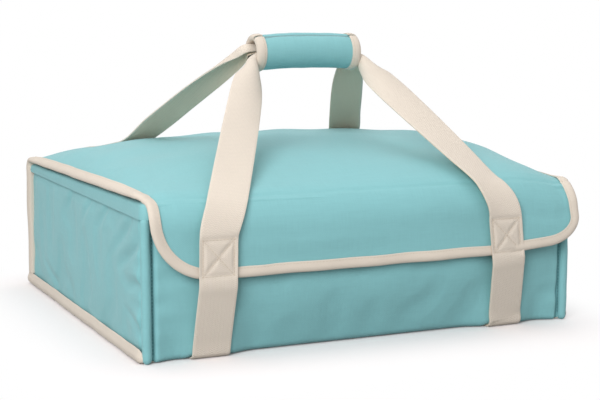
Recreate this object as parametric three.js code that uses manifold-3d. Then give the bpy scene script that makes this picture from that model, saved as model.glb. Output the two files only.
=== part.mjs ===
import * as THREE from "three";
import { mergeVertices } from "three/addons/utils/BufferGeometryUtils.js";
import Module from "manifold-3d";

// Padded bag for pizza boxes: millimetres, +Z up, front towards -Y, floor at Z = 0.

// Body
const BODY_WIDTH = 466;
const BODY_DEPTH = 428;
const BODY_HEIGHT = 144;
const CLOTH = 1;
const WALL_FOAM = 7;
const BASE_FOAM = 6;
const BASE_BOARD = 2.5;
const LINER = 0.6;
const FRONT_SWELL = 3;
const SIDE_SWELL = 3;
const HEM_HEIGHT = 8;
const HEM_CLOTH = 0.8;
const PIPING_RADIUS = 3;
const PIPING_SUNK = 1.2;
const SWELL_RAMP = 0.3;
const SWELL_FLAT = 0.65;

// Lid and flap
const LID_OVERHANG = 4;
const LID_SEAT = 6;
const LID_CROWN = 34;
const LID_FOAM = 7;
const FLAP_FOAM = 3.5;
const FLAP_DROP = 65;
const FLAP_CORNER = 50;
const FOLD_RADIUS = 25;
const EDGE_FOLD_RADIUS = 10;
const EDGE_STANDOFF = 11;
const CROWN_POWER = 2.5;
const EDGE_POWER = 4;

// Tapes
const BINDING_WIDTH = 12;
const BINDING_CLOTH = 1;
const CLOSURE_LENGTH = 220;
const CLOSURE_WIDTH = 20;
const CLOSURE_TAPE = 1.2;
const CLOSURE_RISE = 26;

// Webbing
const WEBBING_WIDTH = 38;
const WEBBING = 2;
const STRAP_INSET = 73;
const FOLDED_WIDTH = 10;
const FOLDED_WEBBING = 5;
const STRAP_STANDOFF = 1.5;
const STRAP_HINGE_DROP = 8;
const STRAP_KINK = 46;
const LEG_TURN = 4;
const GIRTH_FOOT = 10;

// Grip
const GRIP_LENGTH = 120;
const GRIP_DIAMETER = 39.5;
const GRIP_RISE = 98.5;
const GRIP_FORWARD = 63;
const GRIP_ARCH = 2.5;
const GRIP_FOAM = 4.5;
const GRIP_BINDING = 10;
const GRIP_STRIP = 1;
const GRIP_MOUTH = 6;
const SEAM_TILT = THREE.MathUtils.degToRad(25);

// Clearances
const GAP = 0.3;
const LID_GAP = 0.8;
const PANEL_SEAM = 5;
const CREASE = 0.03;
const FOAM_INSET = 20;
const EDGE_TAPER = 18;
const SIDE_TAPER = 30;
const CLOSURE_SLACK = 1;
const FOLD_SLACK = 4.2;
const HEM_CLEAR = 2;
const STRAP_LIFT = 0.8;
const FOAM_START = 8;

// Derived sizes
const halfWidth = BODY_WIDTH / 2;
const halfDepth = BODY_DEPTH / 2;
const wallThickness = CLOTH + GAP + WALL_FOAM + GAP + LINER;
const baseBottom = WEBBING + GAP;
const boardBottom = baseBottom + CLOTH + GAP;
const baseFoamBottom = boardBottom + BASE_BOARD + GAP;
const linerBottom = baseFoamBottom + BASE_FOAM + GAP;
const wallTop = BODY_HEIGHT - HEM_CLOTH - GAP;
const foamReach = CLOTH + GAP + WALL_FOAM + GAP;
const edgeLayers = CLOTH + 2 * LID_GAP + LINER;
const flapBottom = BODY_HEIGHT - FLAP_DROP;
const flapThickness = edgeLayers + FLAP_FOAM;
const flapStandoff = FRONT_SWELL + CLOSURE_SLACK + 3 * GAP + 2 * CLOSURE_TAPE + flapThickness;
const tapeOver = BINDING_CLOTH + LID_GAP;
const lidHalf = halfWidth + LID_OVERHANG - tapeOver;
const flapEdge = flapBottom + tapeOver;
const strapFace = halfDepth + flapStandoff + tapeOver + STRAP_STANDOFF;
const strapSpread = halfWidth - STRAP_INSET;
const strapHingeHeight = flapBottom - STRAP_HINGE_DROP;
const gripHeight = BODY_HEIGHT + LID_SEAT + LID_CROWN + GRIP_RISE;
const gripRadius = GRIP_DIAMETER / 2;
const gripFoamOuter = gripRadius - CLOTH - GAP;
const gripInner = gripFoamOuter - GRIP_FOAM;
const gripBore = gripInner - GAP - BINDING_CLOTH;
const runReach = Math.sqrt((gripBore - GAP) ** 2 - (FOLDED_WIDTH / 2) ** 2) - FOLDED_WEBBING / 2;
const seamHalfGap = GAP / 2 + GRIP_STRIP + GAP;

const { clamp, lerp, smoothstep } = THREE.MathUtils;
const point = (x, y, z) => new THREE.Vector3(x, y, z);
const steps = (from, to, count) => Array.from({ length: count + 1 }, (_, i) => lerp(from, to, i / count));

const teal = new THREE.MeshStandardMaterial({ color: 0x86b9bc, roughness: 0.85 });
const cream = new THREE.MeshStandardMaterial({ color: 0xe0d6c8, roughness: 0.9 });
const foam = new THREE.MeshStandardMaterial({ color: 0xf2f0ea, roughness: 1 });
const foil = new THREE.MeshStandardMaterial({ color: 0xc9ccd0, roughness: 0.35, metalness: 0.9 });
const board = new THREE.MeshStandardMaterial({ color: 0x55585c, roughness: 0.7 });
const tape = new THREE.MeshStandardMaterial({ color: 0xcfc8bb, roughness: 1 });

// The straps stand out in front further than at the back, so the group is moved to centre it on the origin.
const bag = new THREE.Group();
bag.name = "pizza_delivery_bag";
bag.position.y = (strapFace - halfDepth - GAP) / 2;

function add(name, geometry, material) {
  const mesh = new THREE.Mesh(geometry, material);
  mesh.name = name;
  bag.add(mesh);
}

// Closed solid from points and polygon faces, turned so that the faces look outward.
function closedSolid(points, faces) {
  const triangles = faces.flatMap((f) => f.slice(2).map((_, i) => [f[0], f[i + 1], f[i + 2]]));
  const cross = new THREE.Vector3();
  const volume = triangles.reduce(
    (sum, [a, b, c]) => sum + points[a].dot(cross.crossVectors(points[b], points[c])),
    0,
  );
  const outward = volume < 0 ? triangles.map(([a, b, c]) => [a, c, b]) : triangles;
  const geometry = new THREE.BufferGeometry().setFromPoints(points);
  geometry.setIndex(outward.flat());
  geometry.computeVertexNormals();
  return geometry;
}

// Solid between two grids of points: at(column, row, side) with side 0 outside and 1 inside.
function sheet(columns, rows, at) {
  const points = [];
  for (const side of [0, 1]) {
    for (let j = 0; j <= rows; j += 1) {
      for (let i = 0; i <= columns; i += 1) points.push(at(i, j, side));
    }
  }
  const across = columns + 1;
  const layer = across * (rows + 1);
  const faces = [];
  for (let j = 0; j < rows; j += 1) {
    for (let i = 0; i < columns; i += 1) {
      const a = j * across + i;
      const b = a + layer;
      faces.push([a, a + 1, a + across + 1, a + across]);
      faces.push([b, b + across, b + across + 1, b + 1]);
    }
  }
  const rim = [];
  for (let i = 0; i < columns; i += 1) rim.push(i);
  for (let j = 0; j < rows; j += 1) rim.push(j * across + columns);
  for (let i = columns; i > 0; i -= 1) rim.push(rows * across + i);
  for (let j = rows; j > 0; j -= 1) rim.push(j * across);
  rim.forEach((a, i) => {
    const b = rim[(i + 1) % rim.length];
    faces.push([b, a, a + layer, b + layer]);
  });
  return closedSolid(points, faces);
}

// Solid through a row of rings of equal length; outline is the flat section that closes both ends.
function sweep(rings, outline) {
  const count = outline.length;
  const faces = [];
  for (let r = 0; r + 1 < rings.length; r += 1) {
    for (let i = 0; i < count; i += 1) {
      const j = (i + 1) % count;
      faces.push([r * count + i, r * count + j, (r + 1) * count + j, (r + 1) * count + i]);
    }
  }
  const turned = THREE.ShapeUtils.isClockWise(outline);
  const flat = turned ? [...outline].reverse() : outline;
  const cap = THREE.ShapeUtils.triangulateShape(flat, []);
  const index = (i) => (turned ? count - 1 - i : i);
  const last = (rings.length - 1) * count;
  for (const [a, b, c] of cap) {
    const [p, q, s] = [index(a), index(b), index(c)];
    faces.push(turned ? [p, q, s] : [p, s, q]);
    faces.push(turned ? [last + p, last + s, last + q] : [last + p, last + q, last + s]);
  }
  return closedSolid(rings.flat(), faces);
}

// Channel section that takes an edge: from the lip outwards, legs inwards, slot between two levels.
function channel(lip, leg, slotTop, slotBottom, wall) {
  return [
    [lip, slotTop + wall],
    [-leg, slotTop + wall],
    [-leg, slotTop],
    [lip - wall, slotTop],
    [lip - wall, slotBottom],
    [-leg, slotBottom],
    [-leg, slotBottom - wall],
    [lip, slotBottom - wall],
  ].map(([a, b]) => new THREE.Vector2(a, b));
}

// Walls

const frontReach = halfWidth - PANEL_SEAM;
const backReach = halfWidth - CLOTH - GAP;
const sideFront = -(halfDepth - PANEL_SEAM);
const foamBack = halfDepth - CLOTH - GAP;
const foamHalf = halfWidth - foamReach;
const acrossBag = { run: point(1, 0, 0), reach: halfDepth, half: halfWidth };
const alongBag = { run: point(0, 1, 0), reach: halfWidth, half: halfDepth, swell: SIDE_SWELL };
const acrossFoam = [-foamHalf, foamHalf];
const alongCloth = [sideFront, halfDepth];
const alongFoam = [sideFront + GAP, foamBack];
const frontCloth = [-frontReach, frontReach];
const backCloth = [-backReach, backReach];

const walls = {
  front: { ...acrossBag, out: point(0, -1, 0), swell: FRONT_SWELL, cloth: frontCloth, foam: acrossFoam },
  back: { ...acrossBag, out: point(0, 1, 0), swell: 0, cloth: backCloth, foam: acrossFoam },
  left: { ...alongBag, out: point(-1, 0, 0), cloth: alongCloth, foam: alongFoam },
  right: { ...alongBag, out: point(1, 0, 0), cloth: alongCloth, foam: alongFoam },
};

const swellLow = baseBottom + BINDING_WIDTH;
const swellHigh = BODY_HEIGHT - HEM_HEIGHT - HEM_CLEAR;
const swellRamp = SWELL_RAMP * (swellHigh - swellLow);
const swellHeights = [swellLow, swellLow + swellRamp, swellHigh - swellRamp, swellHigh];

function swellPlaces(wall) {
  const end = wall.half - BINDING_WIDTH;
  const full = SWELL_FLAT * end;
  return [-end, -full, full, end];
}

// Point of a wall: along it, at a height, so deep under its face; the padding swells away from the seams.
function wallPoint(wall, along, height, depth, swell) {
  const end = wall.half - BINDING_WIDTH;
  const ends = clamp((end - Math.abs(along)) / ((1 - SWELL_FLAT) * end), 0, 1);
  const levels = clamp(Math.min(height - swellLow, swellHigh - height) / swellRamp, 0, 1);
  return point(0, 0, height)
    .addScaledVector(wall.out, wall.reach + wall.swell * swell * ends * levels - depth)
    .addScaledVector(wall.run, along);
}

const between = (from, to, places) => [from, ...places.filter((v) => v > from && v < to), to];

function wallSheet(wall, from, to, bottom, top, depths, swells) {
  const places = between(from, to, wall.swell ? swellPlaces(wall) : []);
  const heights = between(bottom, top, wall.swell ? swellHeights : []);
  return sheet(places.length - 1, heights.length - 1, (i, j, side) =>
    wallPoint(wall, places[i], heights[j], depths[side], swells[side]),
  );
}

const clothDepths = [0, CLOTH];
const foamDepths = [CLOTH + GAP, CLOTH + GAP + WALL_FOAM];
for (const [name, wall] of Object.entries(walls)) {
  add(`${name}_panel`, wallSheet(wall, ...wall.cloth, baseBottom, wallTop, clothDepths, [1, 1]), teal);
  add(`${name}_foam`, wallSheet(wall, ...wall.foam, boardBottom, wallTop, foamDepths, [1, 0]), foam);
}

function slab(width, depth, bottom, thickness) {
  const geometry = new THREE.BoxGeometry(width, depth, thickness);
  geometry.translate(0, 0, bottom + thickness / 2);
  return geometry;
}

const clothInside = 2 * (CLOTH + GAP);
const foamInside = 2 * foamReach;
add("base_panel", slab(BODY_WIDTH - clothInside, BODY_DEPTH - clothInside, baseBottom, CLOTH), teal);
add("base_board", slab(BODY_WIDTH - foamInside, BODY_DEPTH - foamInside, boardBottom, BASE_BOARD), board);
add("base_foam", slab(BODY_WIDTH - foamInside, BODY_DEPTH - foamInside, baseFoamBottom, BASE_FOAM), foam);

// Liner: a tub that is open at the mouth.

const wasm = await Module();
wasm.setup();

function toManifold(geometry) {
  geometry.deleteAttribute("normal");
  geometry.deleteAttribute("uv");
  const merged = mergeVertices(geometry, 1e-4);
  return new wasm.Manifold(
    new wasm.Mesh({
      numProp: 3,
      vertProperties: merged.attributes.position.array,
      triVerts: merged.index.array,
    }),
  );
}

function subtract(outer, inner) {
  const mesh = toManifold(outer).subtract(toManifold(inner)).getMesh();
  const geometry = new THREE.BufferGeometry();
  geometry.setAttribute("position", new THREE.BufferAttribute(mesh.vertProperties, 3));
  geometry.setIndex(new THREE.BufferAttribute(mesh.triVerts, 1));
  geometry.computeVertexNormals();
  return geometry;
}

const linerHeight = wallTop - linerBottom;
const linerInside = foamInside + 2 * LINER;
const tub = subtract(
  slab(BODY_WIDTH - foamInside, BODY_DEPTH - foamInside, linerBottom, linerHeight),
  slab(BODY_WIDTH - linerInside, BODY_DEPTH - linerInside, linerBottom + LINER, linerHeight),
);
add("liner", tub, foil);

// Hem over the top of the left, front and right walls.

const hemSection = channel(0, HEM_HEIGHT, GAP, -wallThickness - GAP, HEM_CLOTH);
const hemBack = halfDepth - BINDING_WIDTH - BINDING_CLOTH;
const hemPath = [
  { at: point(-halfWidth, hemBack, BODY_HEIGHT), out: point(-1, 0, 0) },
  { at: point(-halfWidth, -halfDepth, BODY_HEIGHT), out: point(-1, -1, 0) },
  { at: point(halfWidth, -halfDepth, BODY_HEIGHT), out: point(1, -1, 0) },
  { at: point(halfWidth, hemBack, BODY_HEIGHT), out: point(1, 0, 0) },
];
const hemRings = hemPath.map(({ at, out }) =>
  hemSection.map((p) => at.clone().addScaledVector(out, p.y).add(point(0, 0, p.x))),
);
add("mouth_hem", sweep(hemRings, hemSection), teal);

// Piping on the front upright edges, and binding round the base edge and back edge of each side.

function piping(side) {
  const bottom = boardBottom;
  const top = BODY_HEIGHT - HEM_HEIGHT - GAP;
  const geometry = new THREE.CylinderGeometry(PIPING_RADIUS, PIPING_RADIUS, top - bottom, 16);
  geometry.rotateX(Math.PI / 2);
  geometry.translate(side * (halfWidth - PIPING_SUNK), -(halfDepth - PIPING_SUNK), (top + bottom) / 2);
  return geometry;
}

const angleFar = GAP + BINDING_CLOTH;
const angleSection = [
  [-angleFar, -angleFar],
  [BINDING_WIDTH - angleFar, -angleFar],
  [BINDING_WIDTH - angleFar, -GAP],
  [-GAP, -GAP],
  [-GAP, BINDING_WIDTH - angleFar],
  [-angleFar, BINDING_WIDTH - angleFar],
].map(([a, b]) => new THREE.Vector2(a, b));

function edgeBinding(side) {
  const path = [
    { at: point(0, sideFront, baseBottom), inward: point(0, 0, 1) },
    { at: point(0, halfDepth, baseBottom), inward: point(0, -1, 1) },
    { at: point(0, halfDepth, BODY_HEIGHT - CLOTH), inward: point(0, -1, 0) },
  ];
  const rings = path.map(({ at, inward }) =>
    angleSection.map((p) => point(side * (halfWidth - p.x), 0, 0).add(at).addScaledVector(inward, p.y)),
  );
  return sweep(rings, angleSection);
}

add("left_piping", piping(-1), teal);
add("right_piping", piping(1), teal);
add("left_binding", edgeBinding(-1), cream);
add("right_binding", edgeBinding(1), cream);

const closureBottom = flapBottom + CLOSURE_RISE;
const closureTop = closureBottom + CLOSURE_WIDTH;
const loopDepths = [-GAP - CLOSURE_TAPE, -GAP];
const loopTape = wallSheet(
  walls.front,
  -CLOSURE_LENGTH / 2,
  CLOSURE_LENGTH / 2,
  closureBottom,
  closureTop,
  loopDepths,
  [1, 1],
);
add("closure_loop", loopTape, tape);

// Lid: lofted between the profile of its bound edge and the crowned profile of its middle.
// A station runs from 0 to 1 along the top from the back, to 2 round the front fold and to 3 down the flap.

const lidBack = halfDepth - GAP;
const edgeProfile = {
  crown: 0,
  radius: EDGE_FOLD_RADIUS,
  foldY: -(halfDepth + EDGE_STANDOFF - EDGE_FOLD_RADIUS),
  foldZ: BODY_HEIGHT + LID_SEAT - EDGE_FOLD_RADIUS,
};
const crownProfile = {
  crown: LID_CROWN,
  radius: FOLD_RADIUS,
  foldY: -(halfDepth + flapStandoff - FOLD_RADIUS),
  foldZ: BODY_HEIGHT + LID_SEAT + flapThickness + FOLD_SLACK - FOLD_RADIUS,
};

function profilePoint(profile, station) {
  const { crown, radius, foldY, foldZ } = profile;
  const backZ = BODY_HEIGHT + LID_SEAT;
  const fall = 2 * CROWN_POWER * crown - (foldZ + radius - backZ);
  const lean = Math.max(0, Math.atan2(fall, lidBack - foldY));
  const angle = lerp(lean, Math.PI / 2, clamp(station - 1, 0, 1));
  const foldPoint = [foldY - radius * Math.sin(angle), foldZ + radius * Math.cos(angle)];
  if (station <= 1) {
    const rise = crown * (1 - Math.abs(2 * station - 1) ** CROWN_POWER);
    return [lerp(lidBack, foldPoint[0], station), lerp(backZ, foldPoint[1], station) + rise];
  }
  if (station <= 2) return foldPoint;
  return [foldPoint[0], lerp(foldZ, flapEdge, station - 2)];
}

function lidFace(x, station) {
  const share = 1 - Math.min(1, Math.abs(x) / lidHalf) ** EDGE_POWER;
  const [ey, ez] = profilePoint(edgeProfile, station);
  const [cy, cz] = profilePoint(crownProfile, station);
  return point(x, lerp(ey, cy, share), lerp(ez, cz, share));
}

function lidNormal(x, station) {
  const dx = 0.5;
  const ds = 0.002;
  const s = clamp(station, ds, 3 - ds);
  const q = clamp(x, -lidHalf + dx, lidHalf - dx);
  const alongX = lidFace(q + dx, s).sub(lidFace(q - dx, s));
  const alongS = lidFace(q, s + ds).sub(lidFace(q, s - ds));
  return alongS.cross(alongX).normalize();
}

const lidPoint = (x, station, depth) => lidFace(x, station).addScaledVector(lidNormal(x, station), -depth);

const flapLength = crownProfile.foldZ - flapEdge;
const topLength = lidBack - crownProfile.foldY;

// How much of the full padding is left at a place: none under the binding, all of it further in.
function padding(x, station) {
  const toBottom = station > 2 ? (3 - station) * flapLength : flapLength;
  const cornerX = Math.abs(x) - (lidHalf - FLAP_CORNER);
  const cornerZ = FLAP_CORNER - toBottom;
  const inCorner = cornerX > 0 && cornerZ > 0;
  const toEdge = inCorner ? FLAP_CORNER - Math.hypot(cornerX, cornerZ) : toBottom;
  const side = smoothstep(lidHalf - Math.abs(x), BINDING_WIDTH, BINDING_WIDTH + SIDE_TAPER);
  const edge = smoothstep(toEdge, BINDING_WIDTH, BINDING_WIDTH + EDGE_TAPER);
  const back = smoothstep(station * topLength, FOAM_START / 2, FOAM_START + EDGE_TAPER);
  return Math.min(side, edge) * back;
}

function foamDepth(station) {
  return lerp(LID_FOAM, FLAP_FOAM, smoothstep(station, 1, 2));
}

// Rows of the lid outline, each a station with its half width, cut in from the bound edge by inset.
const lidStations = [
  0,
  FOAM_START / topLength,
  ...steps(0, 1, 12).slice(1),
  ...steps(1, 1.5 - CREASE, 3).slice(1),
  ...steps(1.5 + CREASE, 2, 3),
];

function lidRows(from, to, inset) {
  const half = lidHalf - inset;
  const rows = lidStations
    .filter((station) => station >= from - 1e-6 && station <= to + 1e-6)
    .map((station) => ({ station, half }));
  if (to <= 2) return rows;
  const corner = FLAP_CORNER - inset;
  const cornerStart = 3 - (inset + corner) / flapLength;
  for (const angle of steps(0, Math.PI / 2, 8)) {
    const station = cornerStart + (corner * Math.sin(angle)) / flapLength;
    rows.push({ station, half: half - corner * (1 - Math.cos(angle)) });
  }
  return rows;
}

// Places across a row: even over the straight part of the lower edge, closer towards the bound side.
const evenHalf = lidHalf - FLAP_CORNER - FOAM_INSET / 4;
const outerShares = [0.3, 0.5, 0.67, 0.8, 0.9, 1];

function rowPlaces(half) {
  const outer = outerShares.map((share) => lerp(evenHalf, half, share));
  return [...outer.map((x) => -x).reverse(), ...steps(-evenHalf, evenHalf, 8), ...outer];
}

function lidSheet(rows, depthAt) {
  const places = rows.map(({ half }) => rowPlaces(half));
  return sheet(places[0].length - 1, rows.length - 1, (i, j, side) => {
    const x = places[j][i];
    const { station } = rows[j];
    return lidPoint(x, station, depthAt(x, station)[side]);
  });
}

const coverRows = lidRows(0, 3, 0);
const linerNear = (x, s) => CLOTH + 2 * LID_GAP + foamDepth(s) * padding(x, s);
const foamLevels = (x, s) => [CLOTH + LID_GAP, CLOTH + LID_GAP + foamDepth(s) * padding(x, s)];

add("lid_cover", lidSheet(coverRows, () => [0, CLOTH]), teal);
add("lid_top_foam", lidSheet(lidRows(FOAM_START / topLength, 1.5 - CREASE, FOAM_INSET), foamLevels), foam);
add("lid_flap_foam", lidSheet(lidRows(1.5 + CREASE, 3, FOAM_INSET), foamLevels), foam);
const lidLiner = lidSheet(coverRows, (x, s) => [linerNear(x, s), linerNear(x, s) + LINER]);
add("lid_liner", lidLiner, foil);

// Binding round the left, front and right edge of lid and flap.

const lastRow = coverRows[coverRows.length - 1];
const edgePath = [
  ...coverRows.map(({ station, half }) => [-half, station]),
  ...steps(-lastRow.half, lastRow.half, 10).slice(1, -1).map((x) => [x, lastRow.station]),
  ...[...coverRows].reverse().map(({ station, half }) => [half, station]),
];
const lidLeg = BINDING_WIDTH - tapeOver;
const lidSection = channel(tapeOver, lidLeg, LID_GAP, -edgeLayers - LID_GAP, BINDING_CLOTH);
const edgePoints = edgePath.map(([x, station]) => lidFace(x, station));
const lidRings = edgePath.map(([x, station], i) => {
  const before = edgePoints[Math.max(0, i - 1)];
  const after = edgePoints[Math.min(edgePoints.length - 1, i + 1)];
  const normal = lidNormal(x, station);
  const along = after.clone().sub(before).normalize();
  const out = along.cross(normal).normalize();
  const at = (p) => edgePoints[i].clone().addScaledVector(out, p.x).addScaledVector(normal, p.y);
  return lidSection.map(at);
});
add("lid_binding", sweep(lidRings, lidSection), cream);

const stationAtHeight = (z) => 2 + (crownProfile.foldZ - z) / flapLength;
const hookStations = [stationAtHeight(closureTop), stationAtHeight(closureBottom)];
const hookTape = sheet(10, 3, (i, j, side) => {
  const x = lerp(-CLOSURE_LENGTH / 2, CLOSURE_LENGTH / 2, i / 10);
  const station = lerp(hookStations[0], hookStations[1], j / 3);
  return lidPoint(x, station, linerNear(x, station) + LINER + GAP + side * CLOSURE_TAPE);
});
add("closure_hook", hookTape, tape);

// Webbing: a flat band through stations that each give place, facing, width and thickness.

function ribbon(stations) {
  const outline = [
    [-1, -1],
    [1, -1],
    [1, 1],
    [-1, 1],
  ].map(([a, b]) => new THREE.Vector2(a, b));
  const rings = stations.map(({ at, facing, width, thick }, i) => {
    const before = stations[Math.max(0, i - 1)].at;
    const after = stations[Math.min(stations.length - 1, i + 1)].at;
    const across = after.clone().sub(before).cross(facing).normalize();
    return outline.map((p) =>
      at.clone().addScaledVector(across, (p.x * width) / 2).addScaledVector(facing, (p.y * thick) / 2),
    );
  });
  return sweep(rings, outline);
}

function girth(side) {
  const x = side * strapSpread;
  const middle = WEBBING / 2;
  const out = halfDepth + GAP + middle;
  const path = [
    [-strapFace - middle, strapHingeHeight - GAP, -1, 0],
    [-out, GIRTH_FOOT, -1, 0],
    [-out, middle, -1, -1],
    [out, middle, 1, -1],
    [out, BODY_HEIGHT - BINDING_WIDTH, 1, 0],
  ];
  return ribbon(
    path.map(([y, z, fy, fz]) => ({
      at: point(x, y, z),
      facing: point(0, fy, fz),
      width: WEBBING_WIDTH,
      thick: WEBBING,
    })),
  );
}

add("left_girth", girth(-1), cream);
add("right_girth", girth(1), cream);

// Grip: its axis is arched; a place on it is given along the seam plane (rise) and in front of it (reach).

const seamUp = point(0, -Math.sin(SEAM_TILT), Math.cos(SEAM_TILT));
const seamFront = point(0, -Math.cos(SEAM_TILT), -Math.sin(SEAM_TILT));

function gripPoint(x, rise, reach) {
  const drop = GRIP_ARCH * (x / (GRIP_LENGTH / 2)) ** 2;
  return point(x, -GRIP_FORWARD, gripHeight - drop)
    .addScaledVector(seamUp, rise)
    .addScaledVector(seamFront, reach);
}

// Handle loop, made for the left half and mirrored: its foot, the leg up to the grip and the run inside.
const LEG_SHAPE = [
  { share: 0.25, width: WEBBING_WIDTH, thick: WEBBING },
  { share: 0.5, width: WEBBING_WIDTH, thick: WEBBING },
  { share: 0.72, width: 0.82 * WEBBING_WIDTH, thick: 1.3 * WEBBING },
  { share: 0.9, width: 0.5 * WEBBING_WIDTH, thick: 2 * WEBBING },
  { share: 1, width: 1.2 * FOLDED_WIDTH, thick: FOLDED_WEBBING },
];
const folded = { width: FOLDED_WIDTH, thick: FOLDED_WEBBING };
const mirrored = (station) => ({ ...station, at: station.at.clone().setX(-station.at.x) });

function handleLoop(foot, front) {
  const mouth = GRIP_LENGTH / 2 + GRIP_MOUTH;
  const facing = seamFront.clone().multiplyScalar(front);
  const inGrip = (x) => ({ at: gripPoint(x, 0, front * runReach), facing, ...folded });
  const last = foot[foot.length - 1].at;
  const enter = inGrip(-mouth - GRIP_MOUTH).at.add(point(0, -front * LEG_TURN, -LEG_TURN));
  const rise = enter.clone().sub(last).setX(0).normalize();
  const legFacing = point(1, 0, 0).cross(rise).multiplyScalar(front);
  const leg = LEG_SHAPE.map(({ share, width, thick }) => ({
    at: last.clone().lerp(enter, share),
    facing: legFacing,
    width,
    thick,
  }));
  const left = [...foot, ...leg, inGrip(-mouth), inGrip(-GRIP_LENGTH / 4)];
  return ribbon(spline([...left, inGrip(0), ...[...left].reverse().map(mirrored)], 3));
}

// Stations on a smooth curve through the given ones.
function spline(stations, parts) {
  const curve = new THREE.CatmullRomCurve3(stations.map((s) => s.at), false, "centripetal");
  const spans = stations.length - 1;
  return steps(0, spans, spans * parts).map((t) => {
    const i = Math.min(spans - 1, Math.floor(t));
    const share = t - i;
    const [a, b] = [stations[i], stations[i + 1]];
    return {
      at: curve.getPoint(t / spans),
      facing: a.facing.clone().lerp(b.facing, share).normalize(),
      width: lerp(a.width, b.width, share),
      thick: lerp(a.thick, b.thick, share),
    };
  });
}

const full = { width: WEBBING_WIDTH, thick: WEBBING };
const frontLine = -strapFace - WEBBING / 2;
const frontLift = tapeOver + STRAP_STANDOFF;

// Stations of a strap in front of the flap and on the lid, leaning in from where it is sewn.
const onFlap = (height, lean) => ({
  at: point(-strapSpread + lean, frontLine, height),
  facing: point(0, -1, 0),
  ...full,
});
const onLid = (station, lean, lift) => {
  const x = -strapSpread + lean;
  const inner = x + WEBBING_WIDTH / 2;
  const at = lidPoint(inner, station, -lift - WEBBING / 2).setX(x);
  return { at, facing: lidNormal(inner, station).setX(0).normalize(), ...full };
};
const frontFoot = [
  onFlap(strapHingeHeight + GAP, 0),
  onFlap(flapBottom + STRAP_KINK / 2, 0),
  onFlap(flapBottom + STRAP_KINK, 1),
  onLid(1.75, 4, frontLift),
  onLid(1.5, 7, frontLift),
  onLid(1.3, 11, frontLift),
];
const backFoot = [
  onLid(0.02, 0, STRAP_LIFT),
  onLid(0.08, 5, STRAP_LIFT),
  onLid(0.16, 13, STRAP_LIFT),
  onLid(0.24, 22, STRAP_LIFT),
  onLid(0.3, 29, STRAP_LIFT),
];

add("front_webbing", handleLoop(frontFoot, 1), cream);
add("back_webbing", handleLoop(backFoot, -1), cream);

// One half of the grip: cover, foam, two bound ends and the two strips of its seam.
function halfOutline(inner, outer) {
  const arc = (radius, from, to) =>
    steps(from, to, 12).map((t) => {
      const start = Math.asin(seamHalfGap / radius);
      const angle = lerp(start, Math.PI - start, t);
      return new THREE.Vector2(radius * Math.cos(angle), radius * Math.sin(angle));
    });
  return [...arc(outer, 0, 1), ...arc(inner, 1, 0)];
}

function alongGrip(outline, half, front) {
  const rings = steps(-half, half, 8).map((x) => outline.map((p) => gripPoint(x, p.x, front * p.y)));
  return sweep(rings, outline);
}

function gripEnd(side, front) {
  const edge = GRIP_LENGTH / 2 - tapeOver;
  const leg = GRIP_BINDING - tapeOver;
  const section = channel(tapeOver, leg, gripRadius + GAP, gripInner - GAP, BINDING_CLOTH);
  const start = Math.asin(seamHalfGap / gripBore);
  const rings = steps(start, Math.PI - start, 14).map((angle) => {
    const [rise, reach] = [Math.cos(angle), front * Math.sin(angle)];
    return section.map((p) => gripPoint(side * (edge + p.x), p.y * rise, p.y * reach));
  });
  return sweep(rings, section);
}

function seamStrip(side, front) {
  const near = GAP / 2;
  const low = side * (gripInner + GAP);
  const high = side * (gripRadius - GAP);
  const outline = [
    [low, near],
    [high, near],
    [high, near + GRIP_STRIP],
    [low, near + GRIP_STRIP],
  ].map(([a, b]) => new THREE.Vector2(a, b));
  return alongGrip(outline, GRIP_LENGTH / 2 - GRIP_BINDING, front);
}

for (const [name, front, strip] of [
  ["front", 1, "hook"],
  ["back", -1, "loop"],
]) {
  const body = GRIP_LENGTH / 2 - tapeOver;
  add(`${name}_grip_cover`, alongGrip(halfOutline(gripFoamOuter + GAP, gripRadius), body, front), teal);
  add(`${name}_grip_foam`, alongGrip(halfOutline(gripInner, gripFoamOuter), body, front), foam);
  add(`${name}_grip_left_end`, gripEnd(-1, front), cream);
  add(`${name}_grip_right_end`, gripEnd(1, front), cream);
  add(`${name}_grip_top_${strip}`, seamStrip(1, front), tape);
  add(`${name}_grip_bottom_${strip}`, seamStrip(-1, front), tape);
}

export default bag;
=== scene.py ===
import math

import bmesh
import bpy
import numpy as np
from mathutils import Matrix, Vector
from mathutils.kdtree import KDTree


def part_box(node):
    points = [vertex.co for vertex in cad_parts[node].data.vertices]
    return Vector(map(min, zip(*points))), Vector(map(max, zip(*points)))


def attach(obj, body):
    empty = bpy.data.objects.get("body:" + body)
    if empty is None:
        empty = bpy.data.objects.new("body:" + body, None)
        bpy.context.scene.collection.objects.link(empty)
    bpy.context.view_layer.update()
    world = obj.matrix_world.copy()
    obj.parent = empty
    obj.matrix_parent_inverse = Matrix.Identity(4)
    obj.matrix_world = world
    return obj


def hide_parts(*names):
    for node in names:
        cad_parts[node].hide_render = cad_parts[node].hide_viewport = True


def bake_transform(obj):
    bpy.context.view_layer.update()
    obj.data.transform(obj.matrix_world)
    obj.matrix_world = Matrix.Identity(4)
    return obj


bl_info = {
    "name": "Padded Pizza Bag",
    "version": (1, 0, 0),
    "blender": (4, 5, 0),
    "location": "View3D > Sidebar > Bag",
    "description": "Sews a padded pizza bag: cover, walls, lining, bindings, webbing, grip and stitching",
    "category": "Object",
}

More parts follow.
